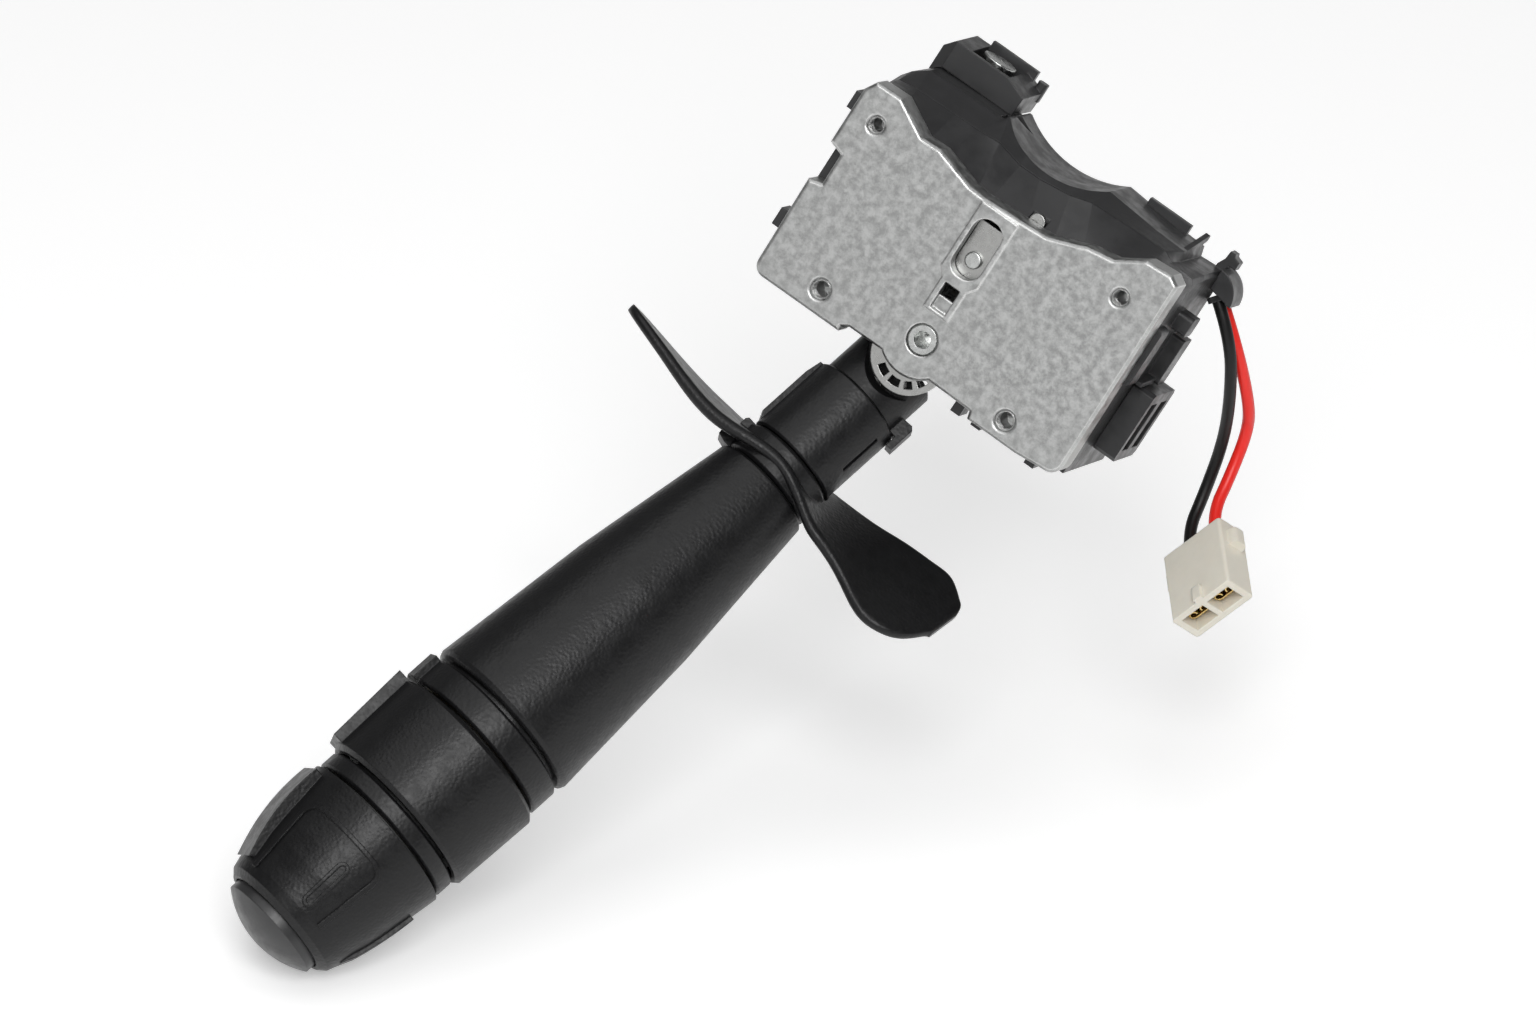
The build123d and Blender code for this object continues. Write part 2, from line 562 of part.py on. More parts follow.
# Wire hood over the lead's exit, and the grommet inside it
EXIT_POINT = Vector(RIGHT + 2.6, 44.0, 44.0)
EXIT_WAY = Vector(0.79, 0, -0.613).normalized()
GROMMET = Plane(origin=EXIT_POINT, x_dir=(0, 1, 0), z_dir=EXIT_WAY)
HOOD_T = 1.5
HOOD_X = RIGHT + SEAT_GAP
HOOD_END = RIGHT + 6.6
HOOD_TOP = 51.8
HOOD_FOOT = 45.2
HOOD_FRONT = 37.0
HOOD_BACK = 46.5
with BuildPart() as wire_hood:
    with BuildSketch(at_depth(HOOD_FRONT)):
        with BuildLine():
            Line((HOOD_X, 47.8), (HOOD_X, HOOD_TOP))
            ThreePointArc((HOOD_X, HOOD_TOP), (RIGHT + 4.6, 49.8), (HOOD_END, HOOD_FOOT))
            Line((HOOD_END, HOOD_FOOT), (HOOD_END - HOOD_T, HOOD_FOOT))
            ThreePointArc((HOOD_END - HOOD_T, HOOD_FOOT), (RIGHT + 3.6, 48.7), (RIGHT + 2.05, 49.9))
            Line((RIGHT + 2.05, 49.9), (RIGHT + 2.05, 47.8))
            Line((RIGHT + 2.05, 47.8), (HOOD_X, 47.8))
        make_face()
    extrude(amount=-(HOOD_BACK - HOOD_FRONT))
    with BuildSketch(at_depth(HOOD_FRONT)):
        with BuildLine():
            Line((HOOD_X, 46.4), (HOOD_X, HOOD_TOP))
            ThreePointArc((HOOD_X, HOOD_TOP), (RIGHT + 4.6, 49.8), (HOOD_END, HOOD_FOOT))
            Line((HOOD_END, HOOD_FOOT), (HOOD_X, 46.4))
        make_face()
    extrude(amount=-HOOD_T)

with BuildPart() as wire_grommet:
    with BuildSketch(GROMMET):
        RectangleRounded(8.2, 4.4, 1.2)
    extrude(amount=-1.5)

# The lead's plug: where its rear face is and which way it points
PLUG_L = 20.6
PLUG_W = 18.7
PLUG_H = 8.9
PLUG_PITCH = 8.3
PLUG_RUN = 7.6
plug_way = Vector(0.602, -0.706, -0.374).normalized()
plug_across = Vector(0.336, -0.201, 0.920)
plug_across = (plug_across - plug_way * plug_across.dot(plug_way)).normalized()
plug_point = EXIT_POINT + Vector(27.9, 8.3, -52.9)
PLUG_REAR = Plane(origin=plug_point, x_dir=plug_across, z_dir=plug_way)
red_entry = plug_point + plug_across * (PLUG_PITCH / 2)
black_entry = plug_point - plug_across * (PLUG_PITCH / 2)

# The two wires of the lead
WIRE_STEP = 2.0
EXIT_RUN = 10.0
red_exit = EXIT_POINT + Vector(0, WIRE_STEP, 0)
black_exit = EXIT_POINT - Vector(0, WIRE_STEP, 0)
RED_ROUTE = [
    red_exit, red_exit + EXIT_WAY * EXIT_RUN, EXIT_POINT + Vector(17.5, 11.2, -18.4),
    EXIT_POINT + Vector(19.8, 18.9, -25.8), EXIT_POINT + Vector(22.5, 17.9, -37.7),
    red_entry - plug_way * PLUG_RUN, red_entry,
]
BLACK_ROUTE = [
    black_exit, black_exit + EXIT_WAY * EXIT_RUN, EXIT_POINT + Vector(13.7, 6.6, -18.9),
    EXIT_POINT + Vector(16.4, 18.8, -31.7), EXIT_POINT + Vector(19.4, 19.5, -45.4),
    black_entry - plug_way * PLUG_RUN, black_entry,
]


def bend_radii(route):
    """The largest radius that each corner's two runs allow."""
    radii = []
    for before, corner, after in zip(route, route[1:], route[2:]):
        into = Vector(corner) - Vector(before)
        out = Vector(after) - Vector(corner)
        half_turn = radians(into.get_angle(out) / 2)
        radii.append(0.45 * min(into.length, out.length) / tan(half_turn))
    return radii


def wire(route):
    """A round wire along its route."""
    with BuildPart() as tube:
        with BuildLine() as path:
            FilletPolyline(*route, radius=bend_radii(route))
        with BuildSketch(Plane(origin=path.line @ 0, z_dir=path.line % 0)):
            Circle(WIRE_R)
        sweep(path=path.line)
    length = sum(edge.length for edge in path.edges())
    print("wire radii", [round(r, 1) for r in bend_radii(route)], "length", round(length, 1))
    return tube


red_wire = wire(RED_ROUTE)
black_wire = wire(BLACK_ROUTE)

# Plug on the lead: housing with two cells, and the receptacles in them
CELL_W = 6.8
CELL_H = 5.4
CRIMP_DEPTH = 3.0
with BuildPart() as plug_body:
    with BuildSketch(PLUG_REAR):
        RectangleRounded(PLUG_W, PLUG_H, 0.9)
    extrude(amount=PLUG_L)
    with BuildSketch(PLUG_REAR.offset(3.0)):
        with Locations((-PLUG_W / 2, 0), (PLUG_W / 2, 0)):
            RectangleRounded(4.6, 4.4, 1.6)
    extrude(amount=4.6)
    with BuildSketch(PLUG_REAR.offset(PLUG_L - 4.0)):
        with Locations((0, PLUG_H / 2)):
            Rectangle(2.4, 2.2)
    extrude(amount=4.0)
    with BuildSketch(PLUG_REAR.offset(CRIMP_DEPTH)):
        with GridLocations(PLUG_PITCH, 0, 2, 1):
            Rectangle(CELL_W, CELL_H)
    extrude(amount=PLUG_L - CRIMP_DEPTH, mode=Mode.SUBTRACT)

with BuildPart() as plug_terminals:
    with BuildSketch(PLUG_REAR.offset(CRIMP_DEPTH + 0.02)):
        with GridLocations(PLUG_PITCH, 0, 2, 1):
            Rectangle(4.0, CELL_H - 0.04)
    extrude(amount=1.2)
    with BuildSketch(PLUG_REAR.offset(CRIMP_DEPTH + 1.2)):
        with GridLocations(PLUG_PITCH, 0, 2, 1):
            RectangleRounded(6.2, 3.0, 0.7)
            RectangleRounded(5.0, 1.7, 0.4, mode=Mode.SUBTRACT)
    extrude(amount=12.6)

# Lever carrier: front journal, two cheeks round the lever's shank, bridge and rear journal
up_way = Vector(sin(cant), 0, cos(cant))
tilt_point = neck_point + lever_way * TILT_STATION
TILT_UP = (tilt_point - Vector(PIVOT_X, 0, PIVOT_Z)).dot(up_way)


# Toothed guard under the plate's lip: its centre is below the pivot, towards the lever
GUARD_X = -1.2
GUARD_Z = -1.5
GUARD = Plane(origin=(GUARD_X, DISC_FRONT, GUARD_Z), x_dir=(1, 0, 0), z_dir=(0, -1, 0))


def cheek_plane(side):
    """A plane across the lever at this distance from the pivot, local X to the rear."""
    return Plane(origin=Vector(PIVOT_X, 0, PIVOT_Z) + across * side, x_dir=(0, 1, 0), z_dir=across)


CHEEK_GAP = 6.4
CHEEK_LOW_Y = 17.0
CHEEK_LOW = -2.6
LOBE_R = 4.6
DISC_BACK = DISC_FRONT + DISC_T
GUARD_T = 2.2
GUARD_R = 9.4
GUARD_WINDOWS = [(-131, -108), (-99, -76), (-66, -50), (-39, -20)]
with BuildPart() as lever_carrier:
    with BuildSketch(carrier_depth(DISC_FRONT)):
        Circle(DISC_R)
    extrude(amount=-DISC_T)
    with BuildSketch(GUARD):
        Circle(GUARD_R)
        with Locations((0, GUARD_R)):
            Rectangle(3 * GUARD_R, 2 * GUARD_R - 5.0, mode=Mode.SUBTRACT)
        for first, last in GUARD_WINDOWS:
            with BuildLine():
                CenterArc((0, 0), GUARD_R - 1.5, first, last - first)
                Line(polar(GUARD_R - 1.5, last), polar(GUARD_R - 3.4, last))
                CenterArc((0, 0), GUARD_R - 3.4, last, first - last)
                Line(polar(GUARD_R - 3.4, first), polar(GUARD_R - 1.5, first))
            make_face(mode=Mode.SUBTRACT)
    extrude(amount=-GUARD_T)
    with BuildSketch(carrier_depth(DISC_BACK)):
        Circle(PIVOT_PIN_R + SHAFT_GAP + 2.2)
    extrude(amount=-(12.0 - DISC_BACK))
    for side in (LEVER_OFFSET - CHEEK_GAP - CHEEK_T, LEVER_OFFSET + CHEEK_GAP):
        with BuildSketch(cheek_plane(side)):
            with BuildLine():
                Polyline(
                    (DISC_BACK - 0.5, CHEEK_LOW), (CHEEK_LOW_Y, CHEEK_LOW),
                    (tilt_point.Y, TILT_UP - LOBE_R), (tilt_point.Y + LOBE_R, TILT_UP),
                    (CHEEK_BACK, -4.0), (CHEEK_BACK, 8.0), (28.0, CHEEK_TOP + BRIDGE_T),
                    (DISC_BACK + 4.0, CHEEK_TOP + BRIDGE_T), (DISC_BACK - 0.5, 9.0), close=True,
                )
            make_face()
            with Locations((tilt_point.Y, TILT_UP)):
                Circle(LOBE_R)
        extrude(amount=CHEEK_T)
    with BuildSketch(carrier_depth(10.0)):
        with Locations((LEVER_OFFSET, CHEEK_TOP + BRIDGE_T / 2)):
            Rectangle(2 * CHEEK_GAP + 2, BRIDGE_T)
    extrude(amount=-18.0)
    with BuildSketch(carrier_depth(CHEEK_BACK)):
        Circle(REAR_DISC_R)
        with Locations((LEVER_OFFSET, 2.0)):
            Rectangle(2 * (CHEEK_GAP + CHEEK_T), 8.0)
    extrude(amount=-REAR_DISC_T)
    with BuildSketch(carrier_depth(CHEEK_BACK + REAR_DISC_T)):
        Circle(REAR_STUB_R)
    extrude(amount=-4.4)
    with BuildSketch(Plane(origin=(PIVOT_X, DETENT_Y, PIVOT_Z), x_dir=across, z_dir=up_way)
                     .offset(CHEEK_TOP)):
        Circle(DETENT_R + 2.0)
    extrude(amount=7.5)
    with BuildSketch(Plane(origin=(PIVOT_X, DETENT_Y, PIVOT_Z), x_dir=across, z_dir=up_way)
                     .offset(CHEEK_TOP + 1.0)):
        Circle(DETENT_R + SHAFT_GAP)
    extrude(amount=6.5, mode=Mode.SUBTRACT)
    with BuildSketch(carrier_depth(DISC_FRONT)):
        Circle(PIVOT_PIN_R + SHAFT_GAP)
    extrude(amount=-(PIVOT_PIN_END + MOVING_GAP - DISC_FRONT), mode=Mode.SUBTRACT)
    with BuildSketch(cheek_plane(LEVER_OFFSET)):
        with Locations((tilt_point.Y, TILT_UP)):
            Circle(TILT_PIN_R + SEAT_GAP)
    extrude(amount=CHEEK_GAP + CHEEK_T, both=True, mode=Mode.SUBTRACT)

# Pin the lever tilts on
with BuildPart() as tilt_pin:
    with BuildSketch(cheek_plane(LEVER_OFFSET)):
        with Locations((tilt_point.Y, TILT_UP)):
            Circle(TILT_PIN_R)
    extrude(amount=CHEEK_GAP + CHEEK_T + 0.4, both=True)

DETENT = Plane(origin=(PIVOT_X, DETENT_Y, PIVOT_Z), x_dir=across, z_dir=up_way)
PLUNGER_FOOT = 16.2
PLUNGER_TIP = 22.6


def coil(plane, radius, height, turns, wire_r):
    """A compression spring standing on a plane."""
    with BuildPart() as spring:
        with BuildLine() as path:
            Helix(pitch=height / turns, height=height, radius=radius,
                  center=plane.origin, direction=plane.z_dir)
        with BuildSketch(Plane(origin=path.line @ 0, z_dir=path.line % 0)):
            Circle(wire_r)
        sweep(path=path.line, is_frenet=True)
    return spring


# Detent: plunger and spring in the carrier, arched track under the case roof
with BuildPart() as detent_plunger:
    with BuildSketch(DETENT.offset(PLUNGER_FOOT)):
        Circle(DETENT_R)
    extrude(amount=PLUNGER_TIP - PLUNGER_FOOT)
    fillet(detent_plunger.faces().sort_by(Axis.Z)[-1].edges(), 1.6)
detent_spring = coil(DETENT.offset(CHEEK_TOP + 1.35), 1.7, 2.5, 3, 0.25)

TRACK_HALF_X = 10.0
TRACK_FRONT = 17.5
TRACK_BACK = 24.5
with BuildPart() as detent_track:
    with BuildSketch(at_depth(TRACK_FRONT)):
        with Locations((PIVOT_X, PIVOT_Z + PLUNGER_TIP + 3.6)):
            Rectangle(2 * TRACK_HALF_X, 10.0)
        with Locations((PIVOT_X, PIVOT_Z)):
            Circle(PLUNGER_TIP + MOVING_GAP, mode=Mode.SUBTRACT)
        with Locations((PIVOT_X, (32.0 + CAVITY_TOP_REAR - SEAT_GAP) / 2)):
            Rectangle(2 * TRACK_HALF_X, CAVITY_TOP_REAR - SEAT_GAP - 32.0)
        with Locations((-5.2, 40.5), (5.2, 40.5)):
            Rectangle(6.0, 6.0, mode=Mode.SUBTRACT)
    extrude(amount=-(TRACK_BACK - TRACK_FRONT))

# Contact board on the cover, its strips and the wiper on the carrier
BOARD_FRONT = 38.6
BOARD_T = 1.6
BOARD_LOW = 16.0
BOARD_HIGH = 38.0
BOARD_HALF_X = 36.0
STRIP_T = 0.8
with BuildPart() as contact_board:
    with BuildSketch(at_depth(BOARD_FRONT)):
        with Locations((0, (BOARD_LOW + BOARD_HIGH) / 2)):
            RectangleRounded(2 * BOARD_HALF_X, BOARD_HIGH - BOARD_LOW, 2.0)
    extrude(amount=-BOARD_T)
    with BuildSketch(at_depth(BOARD_FRONT + BOARD_T)):
        with Locations((-30, 20), (30, 20), (-30, 34), (30, 34)):
            Circle(2.0)
    extrude(amount=-(CASE_BACK - SEAT_GAP - BOARD_FRONT - BOARD_T))

with BuildPart() as fixed_contacts:
    with BuildSketch(at_depth(BOARD_FRONT)):
        with Locations((PIVOT_X, PIVOT_Z)):
            for angle in (70, 90, 110):
                with Locations(polar(17.0, angle)):
                    Rectangle(4.6, 2.6)
        for row in (24.5, 27.5, 30.5):
            with Locations((14.0, row)):
                Rectangle(40.0, 1.4)
    extrude(amount=STRIP_T)

with BuildPart() as wiper_contact:
    with BuildSketch(carrier_depth(CHEEK_BACK + REAR_DISC_T + SEAT_GAP)):
        with Locations((0, 12.4)):
            Rectangle(7.0, 11.6)
        with Locations((0, 15.2)):
            Rectangle(1.4, 6.2, mode=Mode.SUBTRACT)
    extrude(amount=-0.6)

# Cancelling pawl behind the plate's slot, with its rivet and return spring
PAWL_FRONT = 3.6
PAWL_T = 1.8
PAWL_LOW = 19.5
PAWL_HIGH = 35.5
RIVET_Z = 26.3
with BuildPart() as cancel_pawl:
    with BuildSketch(at_depth(PAWL_FRONT)):
        with Locations((0, (PAWL_LOW + PAWL_HIGH) / 2)):
            Rectangle(9.4, PAWL_HIGH - PAWL_LOW)
        with Locations((-8.0, PAWL_LOW + 0.75)):
            Rectangle(8.0, 1.5)
        with Locations((PAWL_X, PAWL_HIGH - 2.25)):
            Rectangle(PAWL_W, 4.5)
    extrude(amount=-PAWL_T)
    with BuildSketch(at_depth(PAWL_FRONT)):
        with Locations((PAWL_X, PAWL_HIGH - 2.25)):
            Rectangle(PAWL_W, 4.5)
    extrude(amount=-(PAWL_TIP_Y + PAWL_TIP_T - PAWL_FRONT))
    with BuildSketch(at_depth(PAWL_TIP_Y)):
        with Locations((PAWL_X, 37.2)):
            SlotOverall(12.4, PAWL_W, rotation=90)
    extrude(amount=-PAWL_TIP_T)
    with BuildSketch(at_depth(PAWL_FRONT)):
        with Locations((SLOT_X, RIVET_Z)):
            Circle(1.1)
    extrude(amount=-PAWL_T, mode=Mode.SUBTRACT)

with BuildPart() as pawl_rivet:
    with BuildSketch(at_depth(PAWL_FRONT - SEAT_GAP)):
        with Locations((SLOT_X, RIVET_Z)):
            Circle(2.1)
    extrude(amount=1.1)
    fillet(pawl_rivet.faces().sort_by(Axis.Y)[0].edges(), 0.5)
    with BuildSketch(at_depth(PAWL_FRONT - SEAT_GAP)):
        with Locations((SLOT_X, RIVET_Z)):
            Circle(1.1 - SEAT_GAP)
    extrude(amount=-(PAWL_T + 0.6))

pawl_spring = coil(Plane(origin=(SPRING_X, SPRING_Y, SPRING_FOOT + 0.4)),
                   1.4, SPRING_TOP - SPRING_FOOT - 0.8, 7, 0.22)


def station(distance):
    """A sketch plane square to the lever at this distance from its neck's end."""
    return LEVER.offset(distance)


front_way = lever_way.cross(across)


def lever_section(angle):
    """A plane through the lever's axis, turned this many degrees from its local X."""
    outward = across * cos(radians(angle)) + front_way * sin(radians(angle))
    return Plane(origin=neck_point, x_dir=outward, z_dir=outward.cross(lever_way))


# Lever neck: shank between the cheeks, latch lug and the tube inside the handle
NECK_TUBE_END = 57.0
NECK_SHOULDER = 11.9
POCKET_GAP = 1.7
POCKET_FRONT = 4.0
with BuildPart() as lever_neck:
    with BuildSketch(LEVER_SECTION):
        with BuildLine():
            Polyline(
                (0, SHANK_END), (SHANK_R - 1.2, SHANK_END), (SHANK_R, SHANK_END + 1.2),
                (SHANK_R, NECK_START), (NECK_R - 0.7, NECK_START), (NECK_R, NECK_START + 0.7),
                (NECK_R, NECK_SHOULDER), (NECK_CORE_R, NECK_SHOULDER), (NECK_CORE_R, NECK_TUBE_END),
                (CORE_R + SEAT_GAP, NECK_TUBE_END), (CORE_R + SEAT_GAP, CORE_START), (0, CORE_START),
                close=True,
            )
        make_face()
    revolve(axis=LEVER_AXIS)
    with BuildSketch(LEVER_SECTION):
        with BuildLine():
            Polyline(
                (9.0, 7.6), (13.4, 7.2), (14.3, 8.0), (14.3, 14.9), (SLEEVE_R + 0.3, 14.9),
                (SLEEVE_R + 0.3, NECK_SHOULDER), (9.0, NECK_SHOULDER), close=True,
            )
        make_face()
    extrude(amount=2.2, both=True)
    with BuildSketch(cheek_plane(LEVER_OFFSET)):
        with Locations((tilt_point.Y, TILT_UP)):
            Circle(TILT_PIN_R + SHAFT_GAP)
    extrude(amount=CHEEK_GAP, both=True, mode=Mode.SUBTRACT)
    with BuildSketch(GUARD.offset(POCKET_FRONT)):
        Circle(GUARD_R + POCKET_GAP)
    extrude(amount=-(POCKET_FRONT + DISC_T + POCKET_GAP), mode=Mode.SUBTRACT)

with BuildPart() as collar_sleeve:
    with BuildSketch(LEVER_SECTION):
        with BuildLine():
            Polyline(
                (NECK_CORE_R + SEAT_GAP, SLEEVE_START), (SLEEVE_R - 0.5, SLEEVE_START),
                (SLEEVE_R, SLEEVE_START + 0.5), (SLEEVE_R, SLEEVE_END - 0.5),
                (SLEEVE_R - 0.5, SLEEVE_END), (NECK_CORE_R + SEAT_GAP, SLEEVE_END), close=True,
            )
        make_face()
    revolve(axis=LEVER_AXIS)
    with BuildSketch(lever_section(28)):
        with Locations((SLEEVE_R, 22.0)):
            Rectangle(1.6, 11.0)
    extrude(amount=0.6, both=True, mode=Mode.SUBTRACT)
    with BuildSketch(lever_section(170)):
        with BuildLine():
            Polyline(
                (11.0, 12.4), (SLEEVE_R + 0.6, 12.6), (SLEEVE_R + 1.2, 16.5), (SLEEVE_R + 1.2, 30.5),
                (SLEEVE_R - 0.2, 33.2), (11.0, 33.2), close=True,
            )
        make_face()
    extrude(amount=1.1, both=True)

CORE_END = 176.0
LEAD_R = 0.8
with BuildPart() as core_tube:
    with BuildSketch(station(CORE_START + SEAT_GAP)):
        Circle(CORE_R)
        Circle(CORE_R - CORE_WALL, mode=Mode.SUBTRACT)
    extrude(amount=CORE_END - CORE_START)

with BuildPart() as lever_leads:
    with BuildSketch(station(CORE_START + 3.0)):
        with PolarLocations(CORE_R - CORE_WALL - LEAD_R, 4):
            Circle(LEAD_R)
    extrude(amount=160.0)

# Handle grip: a tapering shell with one inner web on the core tube
GRIP_FLOOR = 3.4
with BuildPart() as handle_grip:
    with BuildSketch(LEVER_SECTION):
        with BuildLine():
            Polyline(
                (NECK_CORE_R + SEAT_GAP, GRIP_START), (GRIP_SMALL_R - 0.6, GRIP_START),
                (GRIP_SMALL_R, GRIP_START + 0.6), (GRIP_MIDDLE_R, GRIP_MIDDLE),
                (GRIP_LARGE_R - 0.1, GRIP_END - 1.6), (GRIP_LARGE_R - 0.5, GRIP_END - 0.6),
                (GRIP_LARGE_R - 1.4, GRIP_END), (GRIP_LARGE_R - GRIP_WALL - 0.6, GRIP_END),
                (GRIP_LARGE_R - GRIP_WALL - 0.4, GRIP_END - 7),
                (GRIP_MIDDLE_R - GRIP_WALL, GRIP_MIDDLE),
                (GRIP_SMALL_R - GRIP_WALL + 0.6, GRIP_START + GRIP_FLOOR),
                (NECK_CORE_R + SEAT_GAP, GRIP_START + GRIP_FLOOR), close=True,
            )
        make_face()
    revolve(axis=LEVER_AXIS)
    with BuildSketch(station(98.0)):
        Circle(GRIP_MIDDLE_R - 0.9)
        Circle(CORE_R + SEAT_GAP, mode=Mode.SUBTRACT)
    extrude(amount=2.4)

# Upper index ring with its spigot in the grip and the pointer lug
SPIGOT_R = GRIP_LARGE_R - GRIP_WALL - 0.7
with BuildPart() as index_ring_upper:
    with BuildSketch(LEVER_SECTION):
        with BuildLine():
            Polyline(
                (CORE_R + SEAT_GAP, 130.0), (SPIGOT_R - 1.8, 130.0), (SPIGOT_R - 1.8, GRIP_END - 5),
                (SPIGOT_R, GRIP_END - 5), (SPIGOT_R, UPPER_INDEX_START),
                (INDEX_R - 0.6, UPPER_INDEX_START), (INDEX_R, UPPER_INDEX_START + 0.6),
                (INDEX_R, UPPER_INDEX_END - 0.6), (INDEX_R - 0.6, UPPER_INDEX_END),
                (SPIGOT_R - 0.6, UPPER_INDEX_END), (SPIGOT_R - 0.6, 132.5),
                (CORE_R + SEAT_GAP, 132.5), close=True,
            )
        make_face()
    revolve(axis=LEVER_AXIS)
    with BuildSketch(station(UPPER_INDEX_START + 0.3)):
        with BuildLine():
            Polyline(
                polar(INDEX_R - 1.5, 154), polar(22.3, 155), polar(22.7, 166), polar(22.3, 177),
                polar(INDEX_R - 1.5, 178), close=True,
            )
        make_face()
    extrude(amount=UPPER_INDEX_END - UPPER_INDEX_START - 0.3)

# Fixed drum the rotary ring turns on, and the contact disc round it
DRUM_START = 133.0
DRUM_END = 165.0
with BuildPart() as ring_carrier:
    with BuildSketch(LEVER_SECTION):
        with BuildLine():
            Polyline(
                (CORE_R + SEAT_GAP, DRUM_START), (RING_BORE_R - SHAFT_GAP, DRUM_START),
                (RING_BORE_R - SHAFT_GAP, DRUM_END), (CORE_R + SEAT_GAP, DRUM_END),
                (CORE_R + SEAT_GAP, DRUM_END - 2.5), (RING_BORE_R - 2.4, DRUM_END - 2.5),
                (RING_BORE_R - 2.4, DRUM_START + 2.5), (CORE_R + SEAT_GAP, DRUM_START + 2.5),
                close=True,
            )
        make_face()
    revolve(axis=LEVER_AXIS)

with BuildPart() as ring_contact_disc:
    with BuildSketch(station(132.5 + SEAT_GAP)):
        Circle(SPIGOT_R - 0.7)
        Circle(RING_BORE_R, mode=Mode.SUBTRACT)
    extrude(amount=1.4)

# Rotary ring: shell, web, hub and the flat thumb rib
RING_HUB_R = 17.2
RING_INNER_R = 19.4
RIB_ANGLE = 175
RIB_W = 13.0
with BuildPart() as rotary_ring:
    with BuildSketch(LEVER_SECTION):
        with BuildLine():
            Polyline(
                (RING_BORE_R, 138.2), (RING_HUB_R, 138.2), (RING_HUB_R, 141.0), (RING_INNER_R, 141.0),
                (RING_INNER_R, RING_START), (RING_R - 1.0, RING_START), (RING_R, RING_START + 1.0),
                (RING_END_R, RING_END - 1.0), (RING_END_R - 1.0, RING_END), (RING_INNER_R, RING_END),
                (RING_INNER_R, 143.5), (RING_HUB_R, 143.5), (RING_HUB_R, 159.0),
                (RING_BORE_R, 159.0), close=True,
            )
        make_face()
    revolve(axis=LEVER_AXIS)
    for start, reach in ((RING_START + 0.3, 24.2), (159.2, 23.3)):
        with BuildSketch(station(start)):
            with Locations(polar((20.2 + reach) / 2, RIB_ANGLE)):
                Rectangle(reach - 20.2, RIB_W, rotation=RIB_ANGLE)
    loft()

with BuildPart() as ring_wiper:
    with BuildSketch(station(138.2 - SEAT_GAP)):
        Circle(RING_HUB_R - 0.2)
        Circle(RING_BORE_R + 0.5, mode=Mode.SUBTRACT)
        with Locations((0, -12.0)):
            Rectangle(40.0, 24.0, mode=Mode.SUBTRACT)
    extrude(amount=-0.7)

with BuildPart() as index_ring_lower:
    with BuildSketch(LEVER_SECTION):
        with BuildLine():
            Polyline(
                (RING_BORE_R, LOWER_INDEX_START), (LOWER_INDEX_R - 0.6, LOWER_INDEX_START),
                (LOWER_INDEX_R, LOWER_INDEX_START + 0.6), (LOWER_INDEX_R, LOWER_INDEX_END - 0.6),
                (LOWER_INDEX_R - 0.6, LOWER_INDEX_END), (RING_BORE_R, LOWER_INDEX_END), close=True,
            )
        make_face()
    revolve(axis=LEVER_AXIS)

# End of the core: the part the knob turns on, and its contact disc
STEM_BORE_START = 177.0
CARRIER_TIP = 191.0
with BuildPart() as knob_carrier:
    with BuildSketch(LEVER_SECTION):
        with BuildLine():
            Polyline(
                (CORE_R + SEAT_GAP, DRUM_END + SEAT_GAP),
                (KNOB_CARRIER_R - SHAFT_GAP, DRUM_END + SEAT_GAP),
                (KNOB_CARRIER_R - SHAFT_GAP, CARRIER_TIP), (STEM_R + SHAFT_GAP, CARRIER_TIP),
                (STEM_R + SHAFT_GAP, STEM_BORE_START), (CORE_R + SEAT_GAP, STEM_BORE_START),
                close=True,
            )
        make_face()
    revolve(axis=LEVER_AXIS)

with BuildPart() as knob_contact_disc:
    with BuildSketch(station(LOWER_INDEX_END + SEAT_GAP)):
        Circle(KNOB_TIP_R + 2.8)
        Circle(KNOB_CARRIER_R, mode=Mode.SUBTRACT)
    extrude(amount=0.8)

# End knob: tapering shell, web, hub and the two finger lugs
KNOB_OUTER = [
    (KNOB_R + 0.2, KNOB_START), (KNOB_R - 0.6, 174.0), (KNOB_R - 1.3, 181.0), (KNOB_R - 2.0, 186.0),
    (KNOB_R - 2.9, 190.0), (KNOB_R - 3.6, 194.0), (KNOB_R - 4.4, 196.5), (KNOB_TIP_R, KNOB_END),
]
KNOB_WEB = 168.2
# Lugs: angle, first station, height over KNOB_R there and at the middle, half width
KNOB_LUGS = [(162, 168.4, 1.1, 0.3, 6.4), (352, 174.0, 0.2, -0.5, 3.4)]
MARK_H = 0.45
MARK_W = 1.0
ARCH_LEFT = -13.4
ARCH_RIGHT = 11.2
ARCH_CROSS = 174.6
ARCH_FOOT = 194.6
FRONT_SECTION = Plane(origin=neck_point + front_way * 8.0, x_dir=across, z_dir=front_way)

# Raised marks on the knob's front: an arch and a short bar
with BuildPart() as knob_marks:
    with BuildSketch(LEVER_SECTION):
        with BuildLine():
            Polyline(
                *[(radius + MARK_H, place) for radius, place in KNOB_OUTER[1:7]],
                *[(radius - 0.8, place) for radius, place in reversed(KNOB_OUTER[1:7])], close=True,
            )
        make_face()
    revolve(axis=LEVER_AXIS)
    with BuildSketch(FRONT_SECTION) as marks:
        with BuildLine() as arch:
            FilletPolyline(
                (ARCH_LEFT + 2.0, -ARCH_FOOT), (ARCH_LEFT, -ARCH_CROSS), (ARCH_RIGHT, -ARCH_CROSS),
                (ARCH_RIGHT - 1.6, -ARCH_FOOT + 1.0), radius=3.4,
            )
        trace(arch.line, line_width=MARK_W)
        with Locations((3.9, -186.2)):
            SlotOverall(13.4, 3.2, rotation=90)
            SlotOverall(11.8, 1.6, rotation=90, mode=Mode.SUBTRACT)
    extrude(amount=20.0, mode=Mode.INTERSECT)

